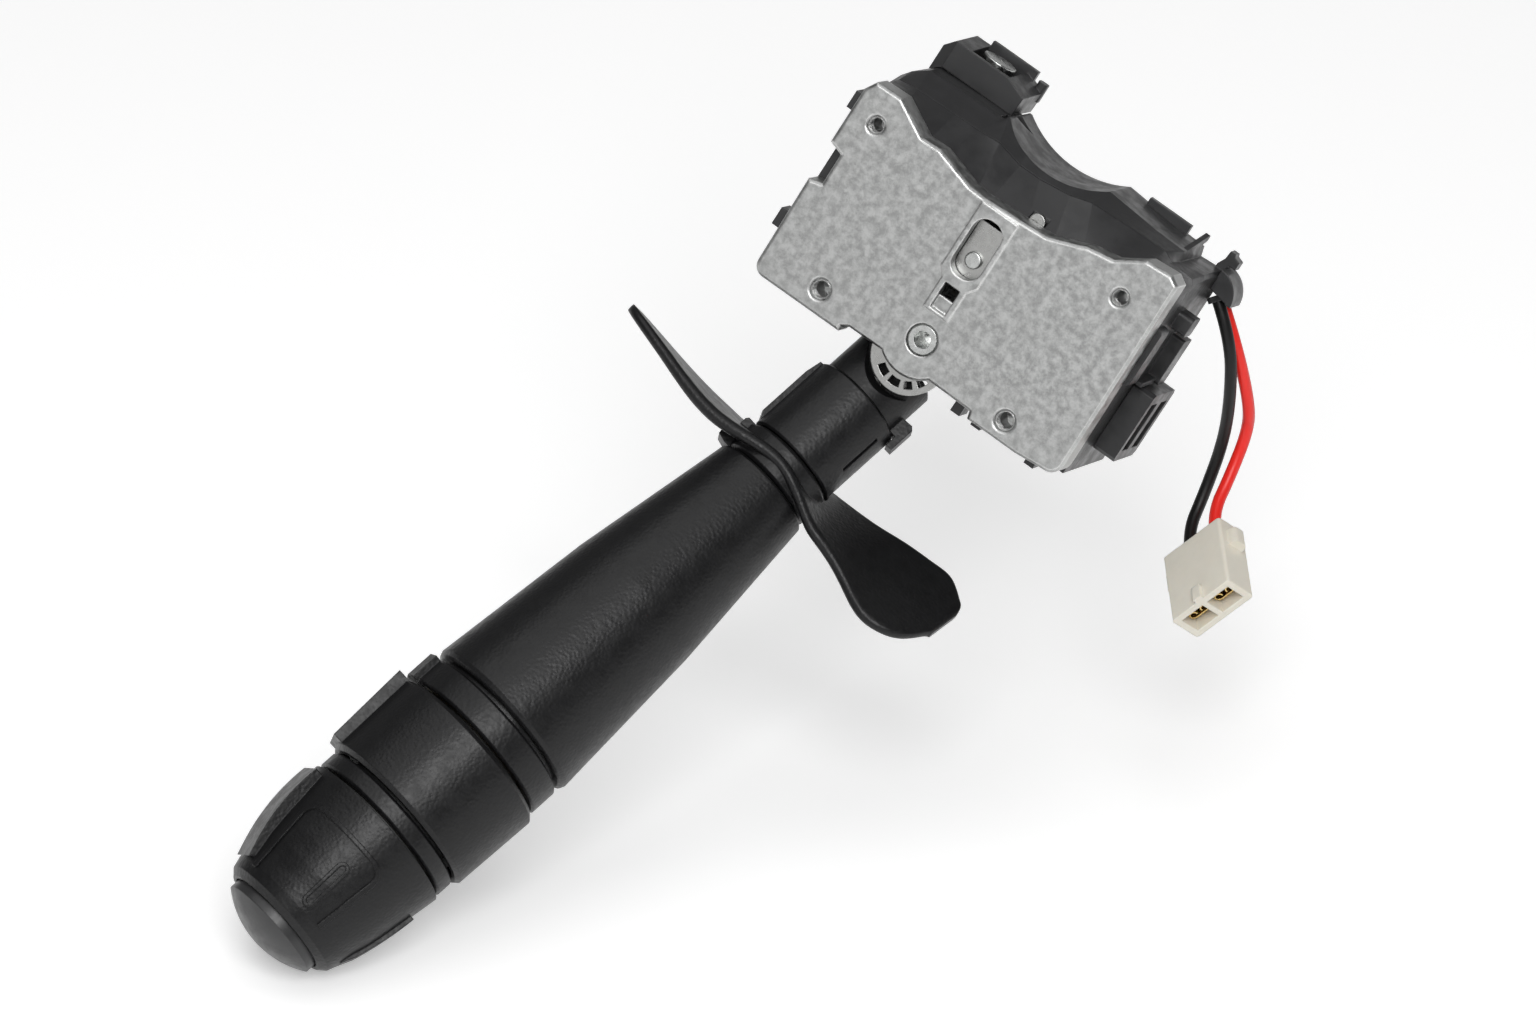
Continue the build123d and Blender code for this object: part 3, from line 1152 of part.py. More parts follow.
with BuildPart() as end_knob:
    with BuildSketch(LEVER_SECTION):
        with BuildLine():
            Polyline(
                *KNOB_OUTER, (BUTTON_HOLE_R, KNOB_END), (BUTTON_HOLE_R, 192.6), (KNOB_TIP_R + 0.8, 190.0),
                (KNOB_TIP_R + 2.2, 181.0), (KNOB_TIP_R + 3.4, 171.0), (KNOB_CARRIER_R + 1.8, 171.0),
                (KNOB_CARRIER_R + 1.8, 189.0), (KNOB_CARRIER_R, 189.0), (KNOB_CARRIER_R, KNOB_WEB),
                (KNOB_TIP_R + 3.6, KNOB_WEB), (KNOB_TIP_R + 3.6, KNOB_START), close=True,
            )
        make_face()
    revolve(axis=LEVER_AXIS)
    for angle, start, proud, middle, half_width in KNOB_LUGS:
        with BuildSketch(lever_section(angle)):
            with BuildLine():
                Line((KNOB_R - 2.8, start), (KNOB_R + proud, start))
                ThreePointArc((KNOB_R + proud, start), (KNOB_R + middle, 181.0), (KNOB_R - 2.2, 190.0))
                Line((KNOB_R - 2.2, 190.0), (KNOB_R - 3.6, 193.6))
                Line((KNOB_R - 3.6, 193.6), (KNOB_R - 5.0, 192.0))
                Line((KNOB_R - 5.0, 192.0), (KNOB_R - 2.8, start))
            make_face()
        extrude(amount=half_width, both=True)
    for mark in knob_marks.solids():
        add(mark)

with BuildPart() as knob_wiper:
    with BuildSketch(station(KNOB_WEB - SEAT_GAP)):
        Circle(KNOB_TIP_R + 2.6)
        Circle(KNOB_CARRIER_R + 2.4, mode=Mode.SUBTRACT)
        with Locations((0, -12.0)):
            Rectangle(40.0, 24.0, mode=Mode.SUBTRACT)
    extrude(amount=-0.7)

# Push button in the lever's end, and its spring
SKIRT_END = 195.2
DOME_FOOT = 200.2
DOME_H = BUTTON_TIP - DOME_FOOT
DOME_R = (BUTTON_R ** 2 + DOME_H ** 2) / (2 * DOME_H)
DOME_MIDDLE = BUTTON_TIP - DOME_R + sqrt(DOME_R ** 2 - (BUTTON_R / 2) ** 2)
with BuildPart() as end_button:
    with BuildSketch(LEVER_SECTION):
        with BuildLine():
            Line((0, BUTTON_TIP), (0, 180.0))
            Line((0, 180.0), (STEM_R, 180.0))
            Line((STEM_R, 180.0), (STEM_R, 200.8))
            Line((STEM_R, 200.8), (BUTTON_R - 1.6, 199.3))
            Line((BUTTON_R - 1.6, 199.3), (BUTTON_R - 1.6, SKIRT_END))
            Line((BUTTON_R - 1.6, SKIRT_END), (BUTTON_R, SKIRT_END))
            Line((BUTTON_R, SKIRT_END), (BUTTON_R, DOME_FOOT))
            ThreePointArc((BUTTON_R, DOME_FOOT), (BUTTON_R / 2, DOME_MIDDLE), (0, BUTTON_TIP))
        make_face()
    revolve(axis=LEVER_AXIS)
button_spring = coil(station(CARRIER_TIP + 0.5), 5.0, 7.0, 5, 0.35)

# Paddle: a hub on the neck tube and two blades, the right one turned like a spoon
PADDLE_SECTIONS = [
    (0.6 - PADDLE_SPAN, 35.9, 8.0, 1.9, 13), (2.0 - PADDLE_SPAN, 36.0, 15.0, 2.2, 13.5),
    (6.0 - PADDLE_SPAN, 36.4, 20.5, 2.5, 14), (-38.0, 37.3, 23.5, 2.8, 15.5), (-28.0, 38.2, 25.0, 3.2, 18),
    (-18.0, 38.1, 26.5, 3.4, 19), (-8.0, 36.7, 27.5, 3.2, 15), (0.0, 35.7, 27.6, BLADE_T, 14),
    (6.0, 35.6, 27.0, BLADE_T, 20), (12.0, 36.3, 25.6, BLADE_T, 29.5), (16.0, 36.8, 25.4, BLADE_T, 35.5),
    (20.5, 36.8, 25.2, BLADE_T, 40), (25.5, 36.7, 25.0, BLADE_T, 46), (32.0, 36.8, 26.9, BLADE_T, 53.5),
    (PADDLE_SPAN - 13.0, 36.9, 29.8, BLADE_T, 57.5), (PADDLE_SPAN - 8.0, 36.1, 29.2, 2.8, 57.5),
    (PADDLE_SPAN - 4.5, 35.7, 25.0, 2.6, 57.5), (PADDLE_SPAN - 1.8, 34.8, 19.0, 2.4, 57),
    (PADDLE_SPAN + 0.3, 34.9, 11.0, 2.0, 57),
]
GRIP_CLEARANCE = 0.9
with BuildPart() as paddle:
    for out, middle, width, thick, twist in PADDLE_SECTIONS:
        edge_way = front_way * cos(radians(twist)) + lever_way * sin(radians(twist))
        with BuildSketch(Plane(origin=neck_point + across * out + lever_way * middle,
                               x_dir=edge_way, z_dir=across)):
            SlotOverall(width, thick)
    loft()
    with BuildSketch(LEVER_SECTION):
        with BuildLine():
            Polyline(
                (NECK_CORE_R, HUB_START), (HUB_R - 0.8, HUB_START), (HUB_R, HUB_START + 0.8),
                (HUB_R, HUB_END - 0.8), (HUB_R - 0.8, HUB_END), (NECK_CORE_R, HUB_END), close=True,
            )
        make_face()
    revolve(axis=LEVER_AXIS)
    with BuildSketch(lever_section(180)):
        with BuildLine():
            Polyline(
                (HUB_R - 1.0, HUB_START), (HUB_R + 1.3, HUB_START), (HUB_R + 1.8, HUB_START + 0.7),
                (HUB_R + 1.8, 39.5), (HUB_R + 3.6, 41.2), (HUB_R + 3.4, 42.2), (HUB_R + 1.0, HUB_END),
                (HUB_R - 1.0, HUB_END), close=True,
            )
        make_face()
    extrude(amount=3.0, both=True)
    with BuildSketch(station(20.0)):
        Circle(NECK_CORE_R + SHAFT_GAP)
    extrude(amount=40.0, mode=Mode.SUBTRACT)
    with BuildSketch(station(20.0)):
        Circle(SLEEVE_R + MOVING_GAP)
    extrude(amount=SLEEVE_END + MOVING_GAP - 20.0, mode=Mode.SUBTRACT)
    with BuildSketch(station(HUB_END)):
        Circle(GRIP_SMALL_R + GRIP_CLEARANCE)
    extrude(amount=17.0, mode=Mode.SUBTRACT)

pieces = {
    "base_plate": base_plate,
    "pivot_pin": pivot_pin,
    "front_case": front_case,
    "rear_case": rear_case,
    "rear_cover": rear_cover,
    "case_screws": case_screws,
    "contact_holder": contact_holder,
    "horn_contact": horn_contact,
    "horn_spring": horn_spring,
    "socket_shell": socket_shell,
    "socket_blades": socket_blades,
    "wire_hood": wire_hood,
    "wire_grommet": wire_grommet,
    "red_wire": red_wire,
    "black_wire": black_wire,
    "plug_body": plug_body,
    "plug_terminals": plug_terminals,
    "lever_carrier": lever_carrier,
    "tilt_pin": tilt_pin,
    "detent_plunger": detent_plunger,
    "detent_spring": detent_spring,
    "detent_track": detent_track,
    "contact_board": contact_board,
    "fixed_contacts": fixed_contacts,
    "wiper_contact": wiper_contact,
    "cancel_pawl": cancel_pawl,
    "pawl_rivet": pawl_rivet,
    "pawl_spring": pawl_spring,
    "lever_neck": lever_neck,
    "collar_sleeve": collar_sleeve,
    "core_tube": core_tube,
    "lever_leads": lever_leads,
    "handle_grip": handle_grip,
    "index_ring_upper": index_ring_upper,
    "ring_carrier": ring_carrier,
    "ring_contact_disc": ring_contact_disc,
    "rotary_ring": rotary_ring,
    "ring_wiper": ring_wiper,
    "index_ring_lower": index_ring_lower,
    "knob_carrier": knob_carrier,
    "knob_contact_disc": knob_contact_disc,
    "end_knob": end_knob,
    "knob_wiper": knob_wiper,
    "end_button": end_button,
    "button_spring": button_spring,
    "paddle": paddle,
}
for label, piece in pieces.items():
    piece.part.label = label
    export_step(piece.part, f"parts/{label}.step")
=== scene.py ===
"""Render scene of the combination stalk switch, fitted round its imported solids."""

import logging
import math
from dataclasses import dataclass, field
from enum import Enum

import bpy
from mathutils import Matrix, Vector


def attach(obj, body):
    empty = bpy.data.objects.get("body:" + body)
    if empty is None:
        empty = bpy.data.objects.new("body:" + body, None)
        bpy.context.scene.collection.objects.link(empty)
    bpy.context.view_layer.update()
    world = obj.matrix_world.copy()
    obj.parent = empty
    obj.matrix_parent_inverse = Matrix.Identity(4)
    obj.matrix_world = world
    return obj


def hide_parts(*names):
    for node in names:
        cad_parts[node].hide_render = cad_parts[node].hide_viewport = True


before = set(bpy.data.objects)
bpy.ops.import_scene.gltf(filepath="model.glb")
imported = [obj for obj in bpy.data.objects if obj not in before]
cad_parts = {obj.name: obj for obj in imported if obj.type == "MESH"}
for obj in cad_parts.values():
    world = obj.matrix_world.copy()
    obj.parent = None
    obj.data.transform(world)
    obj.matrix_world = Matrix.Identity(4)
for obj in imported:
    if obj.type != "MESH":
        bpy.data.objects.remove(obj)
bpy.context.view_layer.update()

logging.basicConfig(level=logging.INFO, format="%(name)s: %(message)s")
LOG = logging.getLogger("stalk_switch")

MM = 0.001

WHITE = (1.0, 1.0, 1.0, 1.0)
CAMERA_RAYS = ("Is Camera Ray",)
BACKGROUND_RAYS = ("Is Camera Ray", "Is Glossy Ray", "Is Transmission Ray")


class Slot(Enum):
    """The record's material slots that the scene's finishes stand for."""

    CAST = "die_cast_aluminium"
    STEEL = "steel"
    ZINC = "zinc"
    GRAINED = "grained_black"
    SMOOTH = "smooth_black"
    INNER = "inner_plastic"
    NYLON = "ivory_nylon"
    BRASS = "brass"
    RED = "red_insulation"
    BLACK = "black_insulation"


@dataclass(frozen=True)
class Bump:
    """One layer of surface relief.

    Args:
        scale: noise cells per metre.
        strength: strength of the bump node.
        height_mm: height of the relief in millimetres.
        cells: True for rounded cells, False for soft noise.
    """

    scale: float
    strength: float
    height_mm: float
    cells: bool = False


@dataclass(frozen=True)
class Finish:
    """A procedural finish on object coordinates.

    Args:
        slot: the record's slot.
        color: base colour, linear.
        roughness: base roughness.
        metallic: 1 for bare metal.
        mottle: share by which the colour varies.
        mottle_scale: size of the mottling, in cells per metre.
        rough_spread: how far the roughness varies.
        bumps: layers of relief, coarse first.
        subsurface: weight of light scattered under the surface.
        scatter_mm: how deep that light goes.
        edge_mm: radius to which the light rounds a sharp edge.
        edge_highlight: how far the sharp edges go towards a painted highlight, a bright metal
            colour with lower roughness. It works on the mottled colour and roughness, at the
            edges that edge_mm finds.
        specular: level of the mirror reflection.
    """

    slot: Slot
    color: tuple[float, float, float]
    roughness: float
    metallic: float = 0.0
    mottle: float = 0.0
    mottle_scale: float = 120.0
    rough_spread: float = 0.0
    bumps: tuple[Bump, ...] = ()
    subsurface: float = 0.0
    scatter_mm: float = 1.5
    edge_mm: float = 0.0
    edge_highlight: float = 0.0
    specular: float = 0.5


FINISHES: tuple[Finish, ...] = (
    # The cast plate's sharp edges carry a painted highlight, a bright metal colour laid into
    # the colour along them.
    Finish(Slot.CAST, (0.45, 0.455, 0.45), 0.42, 1.0, 0.36, 420.0, 0.10,
           (Bump(800.0, 0.22, 0.06), Bump(3800.0, 0.25, 0.02)), edge_mm=0.7, edge_highlight=0.8),
    Finish(Slot.STEEL, (0.56, 0.57, 0.56), 0.30, 1.0, 0.25, 500.0, 0.1, edge_mm=0.2),
    Finish(Slot.ZINC, (0.44, 0.44, 0.43), 0.30, 1.0, 0.16, 400.0, 0.06, edge_mm=0.35),
    Finish(Slot.GRAINED, (0.0055, 0.0055, 0.006), 0.40, 0.0, 0.1, 300.0, 0.05,
           (Bump(1250.0, 0.55, 0.12, True), Bump(5200.0, 0.2, 0.02)), edge_mm=0.35,
           specular=0.34),
    Finish(Slot.SMOOTH, (0.026, 0.026, 0.027), 0.38, 0.0, 0.1, 200.0, 0.08,
           (Bump(4000.0, 0.12, 0.012),), edge_mm=0.4, specular=0.50),
    Finish(Slot.INNER, (0.05, 0.05, 0.05), 0.5, 0.0, 0.1),
    Finish(Slot.NYLON, (0.82, 0.78, 0.68), 0.40, 0.0, 0.03, 200.0, 0.05, subsurface=0.2,
           edge_mm=0.4),
    Finish(Slot.BRASS, (0.78, 0.56, 0.22), 0.26, 1.0, 0.1, 600.0, 0.1, edge_mm=0.15),
    Finish(Slot.RED, (0.90, 0.022, 0.014), 0.36, 0.0, 0.04, 300.0, 0.03),
    Finish(Slot.BLACK, (0.006, 0.006, 0.006), 0.42, 0.0, 0.04, 300.0, 0.03, specular=0.30),
)


@dataclass
class Workshop:
    """Builds each finish once and hands it out.

    Args:
        finishes: the finish of each slot.
        made: the materials built so far.
        mottle_detail: octaves of the mottling's noise.
        mottle_roughness: how strong its fine octaves are.
        mottle_span: the part of the noise that the mottling is stretched over.
        scatter_share: how deep red, green and blue light go under the surface.
        edge_samples: rays that find a sharp edge.
        highlight_span: from a full edge to a flat face, as the two normals' product, over
            which the painted edge highlight fades.
        highlight_color: the painted highlight's bright colour on an edge, linear.
        highlight_roughness: its roughness.
        relief_detail: octaves of the relief's soft noise.
    """

    finishes: dict[Slot, Finish] = field(
        default_factory=lambda: {finish.slot: finish for finish in FINISHES})
    made: dict[Slot, bpy.types.Material] = field(default_factory=dict)
    mottle_detail: float = 8.0
    mottle_roughness: float = 0.72
    mottle_span: tuple[float, float] = (0.40, 0.60)
    scatter_share: tuple[float, float, float] = (1.0, 0.8, 0.6)
    edge_samples: int = 6
    # The three values below shape the painted highlight along sharp edges.
    highlight_span: tuple[float, float] = (0.90, 0.995)
    highlight_color: tuple[float, float, float] = (0.86, 0.86, 0.85)
    highlight_roughness: float = 0.26
    relief_detail: float = 4.0

    def material(self, slot: Slot) -> bpy.types.Material:
        """The material for a slot.

        Args:
            slot: the record's slot.

        Returns:
            The Blender material, built on first use.
        """
        if slot not in self.made:
            self.made[slot] = self._build(self.finishes[slot])
        return self.made[slot]

    def _build(self, finish: Finish) -> bpy.types.Material:
        """Builds the node tree of one finish.

        Args:
            finish: the finish.

        Returns:
            The material.
        """
        material = bpy.data.materials.new(finish.slot.value)
        material.use_nodes = True
        tree = material.node_tree
        shader = tree.nodes["Principled BSDF"]
        shader.inputs["Base Color"].default_value = (*finish.color, 1.0)
        shader.inputs["Roughness"].default_value = finish.roughness
        shader.inputs["Metallic"].default_value = finish.metallic
        shader.inputs["Specular IOR Level"].default_value = finish.specular
        if finish.subsurface:
            shader.inputs["Subsurface Weight"].default_value = finish.subsurface
            shader.inputs["Subsurface Radius"].default_value = self.scatter_share
            shader.inputs["Subsurface Scale"].default_value = finish.scatter_mm * MM
        coordinates = tree.nodes.new("ShaderNodeTexCoord")
        if finish.mottle or finish.rough_spread:
            self._mottle(tree, coordinates, finish)
        rounded = self._rounded(tree, finish) if finish.edge_mm else None
        # Paints a bright highlight into the colour along the sharp edges.
        if finish.edge_highlight:
            self._paint_edge_highlight(tree, rounded, finish)
        self._relief(tree, coordinates, rounded, finish)
        return material

    def _mottle(self, tree: bpy.types.NodeTree, coordinates: bpy.types.Node,
                finish: Finish) -> None:
        """Varies colour and roughness by one noise.

        Args:
            tree: the material's nodes.
            coordinates: the coordinate node.
            finish: the finish.
        """
        shader = tree.nodes["Principled BSDF"]
        noise = tree.nodes.new("ShaderNodeTexNoise")
        noise.inputs["Scale"].default_value = finish.mottle_scale
        noise.inputs["Detail"].default_value = self.mottle_detail
        noise.inputs["Roughness"].default_value = self.mottle_roughness
        tree.links.new(coordinates.outputs["Object"], noise.inputs["Vector"])
        if finish.mottle:
            spread = self._range(tree, noise.outputs["Fac"], self.mottle_span,
                                 (1.0 - finish.mottle / 2, 1.0 + finish.mottle / 2))
            tint = tree.nodes.new("ShaderNodeVectorMath")
            tint.operation = "SCALE"
            tint.inputs[0].default_value = finish.color
            tree.links.new(spread, tint.inputs["Scale"])
            tree.links.new(tint.outputs["Vector"], shader.inputs["Base Color"])
        if finish.rough_spread:
            rough = self._range(tree, noise.outputs["Fac"], self.mottle_span,
                                (finish.roughness - finish.rough_spread,
                                 finish.roughness + finish.rough_spread))
            tree.links.new(rough, shader.inputs["Roughness"])

    def _range(self, tree: bpy.types.NodeTree, source: bpy.types.NodeSocket,
               given: tuple[float, float], made: tuple[float, float]) -> bpy.types.NodeSocket:
        """Maps one range of values to another.

        Args:
            tree: the material's nodes.
            source: the value.
            given: its range.
            made: the range it becomes.

        Returns:
            The mapped value.
        """
        node = tree.nodes.new("ShaderNodeMapRange")
        node.inputs["From Min"].default_value = given[0]
        node.inputs["From Max"].default_value = given[1]
        node.inputs["To Min"].default_value = made[0]
        node.inputs["To Max"].default_value = made[1]
        tree.links.new(source, node.inputs["Value"])
        return node.outputs["Result"]

    def _rounded(self, tree: bpy.types.NodeTree, finish: Finish) -> bpy.types.NodeSocket:
        """The normal with sharp edges eased.

        Args:
            tree: the material's nodes.
            finish: the finish.

        Returns:
            The normal's socket.
        """
        edge = tree.nodes.new("ShaderNodeBevel")
        edge.samples = self.edge_samples
        edge.inputs["Radius"].default_value = finish.edge_mm * MM
        return edge.outputs["Normal"]

    def _paint_edge_highlight(self, tree: bpy.types.NodeTree, rounded: bpy.types.NodeSocket,
              finish: Finish) -> None:
        """Paints a highlight on the sharp edges: lightens their colour towards bright metal
        and smooths them.

        Args:
            tree: the material's nodes.
            rounded: the eased normal.
            finish: the finish.
        """
        shader = tree.nodes["Principled BSDF"]
        geometry = tree.nodes.new("ShaderNodeNewGeometry")
        turned = tree.nodes.new("ShaderNodeVectorMath")
        turned.operation = "DOT_PRODUCT"
        tree.links.new(rounded, turned.inputs[0])
        tree.links.new(geometry.outputs["Normal"], turned.inputs[1])
        highlight_mask = self._range(tree, turned.outputs["Value"], self.highlight_span,
                           (finish.edge_highlight, 0.0))
        # Mixes the painted highlight's bright colour and lower roughness into the edges.
        for name, highlit in (("Base Color", (*self.highlight_color, 1.0)),
                             ("Roughness", self.highlight_roughness)):
            before = shader.inputs[name].links[0].from_socket
            mix = tree.nodes.new("ShaderNodeMix")
            mix.data_type = "RGBA" if name == "Base Color" else "FLOAT"
            ends = {socket.name: socket for socket in mix.inputs if socket.enabled}
            tree.links.new(highlight_mask, ends["Factor"])
            tree.links.new(before, ends["A"])
            ends["B"].default_value = highlit
            made = next(socket for socket in mix.outputs if socket.enabled)
            tree.links.new(made, shader.inputs[name])

    def _relief(self, tree: bpy.types.NodeTree, coordinates: bpy.types.Node,
                rounded: bpy.types.NodeSocket | None, finish: Finish) -> None:
        """Layers of fine relief over the eased normal.

        Args:
            tree: the material's nodes.
            coordinates: the coordinate node.
            rounded: the eased normal, or None.
            finish: the finish.
        """
        normal = rounded
        for layer in finish.bumps:
            if layer.cells:
                source = tree.nodes.new("ShaderNodeTexVoronoi")
                source.feature = "SMOOTH_F1"
                height = source.outputs["Distance"]
            else:
                source = tree.nodes.new("ShaderNodeTexNoise")
                source.inputs["Detail"].default_value = self.relief_detail
                height = source.outputs["Fac"]
            source.inputs["Scale"].default_value = layer.scale
            tree.links.new(coordinates.outputs["Object"], source.inputs["Vector"])
            bump = tree.nodes.new("ShaderNodeBump")
            bump.inputs["Strength"].default_value = layer.strength
            bump.inputs["Distance"].default_value = layer.height_mm * MM
            tree.links.new(height, bump.inputs["Height"])
            if normal:
                tree.links.new(normal, bump.inputs["Normal"])
            normal = bump.outputs["Normal"]
        if normal:
            tree.links.new(normal, tree.nodes["Principled BSDF"].inputs["Normal"])


NODE_SLOTS: dict[Slot, tuple[str, ...]] = {
    Slot.CAST: ("base_plate",),
    Slot.STEEL: ("pivot_pin", "case_screws", "tilt_pin", "detent_plunger", "detent_spring",
                 "horn_spring", "pawl_spring", "button_spring", "horn_contact", "core_tube",
                 "pawl_rivet"),
    Slot.ZINC: ("lever_carrier", "cancel_pawl"),
    Slot.GRAINED: ("lever_neck", "collar_sleeve", "handle_grip", "rotary_ring", "end_knob",
                   "index_ring_upper", "index_ring_lower", "paddle"),
    Slot.SMOOTH: ("front_case", "rear_case", "rear_cover", "contact_holder", "socket_shell",
                  "wire_hood", "end_button", "wire_grommet"),
    Slot.INNER: ("detent_track", "contact_board", "ring_carrier", "ring_contact_disc",
                 "knob_carrier", "knob_contact_disc"),
    Slot.NYLON: ("plug_body",),
    Slot.BRASS: ("socket_blades", "fixed_contacts", "wiper_contact",
                 "ring_wiper", "knob_wiper"),
    Slot.RED: ("lever_leads",),
}


@dataclass
class SubAssembly:
    """A group of pieces that share a workshop.

    Args:
        workshop: where the finishes come from.
    """

    workshop: Workshop

    def finish_piece(self, piece: bpy.types.Object, slot: Slot) -> bpy.types.Object:
        """Gives a piece its finish and logs it.

        Args:
            piece: the object.
            slot: the record's slot.

        Returns:
            The same object.
        """
        piece.data.materials.clear()
        piece.data.materials.append(self.workshop.material(slot))
        LOG.info("%s in %s", piece.name, slot.value)
        return piece


@dataclass
class CadNodes(SubAssembly):
    """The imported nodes, shown as they were modelled."""

    def build(self) -> None:
        """Gives each node its finish."""
        for slot, names in NODE_SLOTS.items():
            for name in names:
                node = bpy.data.objects[name]
                node.data.materials.clear()
                node.data.materials.append(self.workshop.material(slot))
                LOG.info("%s in %s", name, slot.value)


HOLES_MM = ((-27.0, 0.0, 2.5), (27.0, 0.0, 2.5), (-37.1, 39.9, 2.1), (33.9, 39.9, 2.1))


@dataclass
class Threads(SubAssembly):
    """Ringed walls that stand for the threads in the plate's four tapped holes.

    Args:
        holes_mm: each hole's X, Z and radius.
        mouth_mm: how far the first turn lies behind the plate's face.
        pitch_mm: from crest to crest.
        depth_mm: how far a crest stands into the hole.
        turns: crests in a hole.
        around: corners round a turn.
        inset_mm: how far the wall stays inside the plate's own hole.
        wall_mm: the wall's thickness.
    """

    holes_mm: tuple[tuple[float, float, float], ...] = HOLES_MM
    mouth_mm: float = 0.45
    pitch_mm: float = 0.9
    depth_mm: float = 0.38
    turns: int = 4
    around: int = 40
    inset_mm: float = 0.03
    wall_mm: float = 0.1

    def build(self) -> None:
        """Models one wall and copies it into each hole."""
        first = self._wall(*self.holes_mm[0])
        for number, hole in enumerate(self.holes_mm, start=1):
            wall = first if number == 1 else self._copy(first, hole)
            wall.name = f"thread_{number}"
            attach(wall, "base")
            self.finish_piece(wall, Slot.CAST)

    def _copy(self, first: bpy.types.Object,
              hole: tuple[float, float, float]) -> bpy.types.Object:
        """A copy of the first wall in another hole, widened to its radius.

        Args:
            first: the wall in the first hole.
            hole: the other hole's X, Z and radius.

        Returns:
            The copy, with its own mesh.
        """
        first_x, first_z, first_radius = self.holes_mm[0]
        x, z, radius = hole
        wall = first.copy()
        wall.data = first.data.copy()
        bpy.context.scene.collection.objects.link(wall)
        share = radius / first_radius
        for vertex in wall.data.vertices:
            vertex.co.x = (vertex.co.x - first_x * MM) * share + x * MM
            vertex.co.z = (vertex.co.z - first_z * MM) * share + z * MM
        return wall

    def _wall(self, x: float, z: float, radius: float) -> bpy.types.Object:
        """A ring drawn down the hole, in and out at each crest.

        Args:
            x: the hole's X.
            z: the hole's Z.
            radius: the hole's radius.

        Returns:
            The wall.
        """
        bpy.ops.object.select_all(action="DESELECT")
        outer = radius - self.inset_mm
        centre = Vector((x, self.mouth_mm, z)) * MM
        bpy.ops.mesh.primitive_circle_add(
            vertices=self.around, radius=outer * MM, location=centre,
            rotation=(-math.pi / 2, 0.0, 0.0))
        wall = bpy.context.object
        bpy.ops.object.transform_apply(location=True, rotation=True, scale=True)
        bpy.ops.object.mode_set(mode="EDIT")
        inner = (radius - self.depth_mm) / outer
        depth = self.mouth_mm
        for step in range(2 * self.turns):
            depth += self.pitch_mm / 2
            bpy.ops.mesh.extrude_region_move(
                TRANSFORM_OT_translate={"value": (0.0, self.pitch_mm / 2 * MM, 0.0)})
            share = inner if step % 2 == 0 else 1.0 / inner
            bpy.ops.transform.resize(
                value=(share, 1.0, share), center_override=Vector((x, depth, z)) * MM)
        bpy.ops.mesh.select_all(action="SELECT")
        bpy.ops.mesh.normals_make_consistent(inside=True)
        bpy.ops.object.mode_set(mode="OBJECT")
        thick = wall.modifiers.new("thick", "SOLIDIFY")
        thick.thickness = self.wall_mm * MM
        thick.offset = 1.0
        bpy.ops.object.modifier_apply(modifier=thick.name)
        return wall


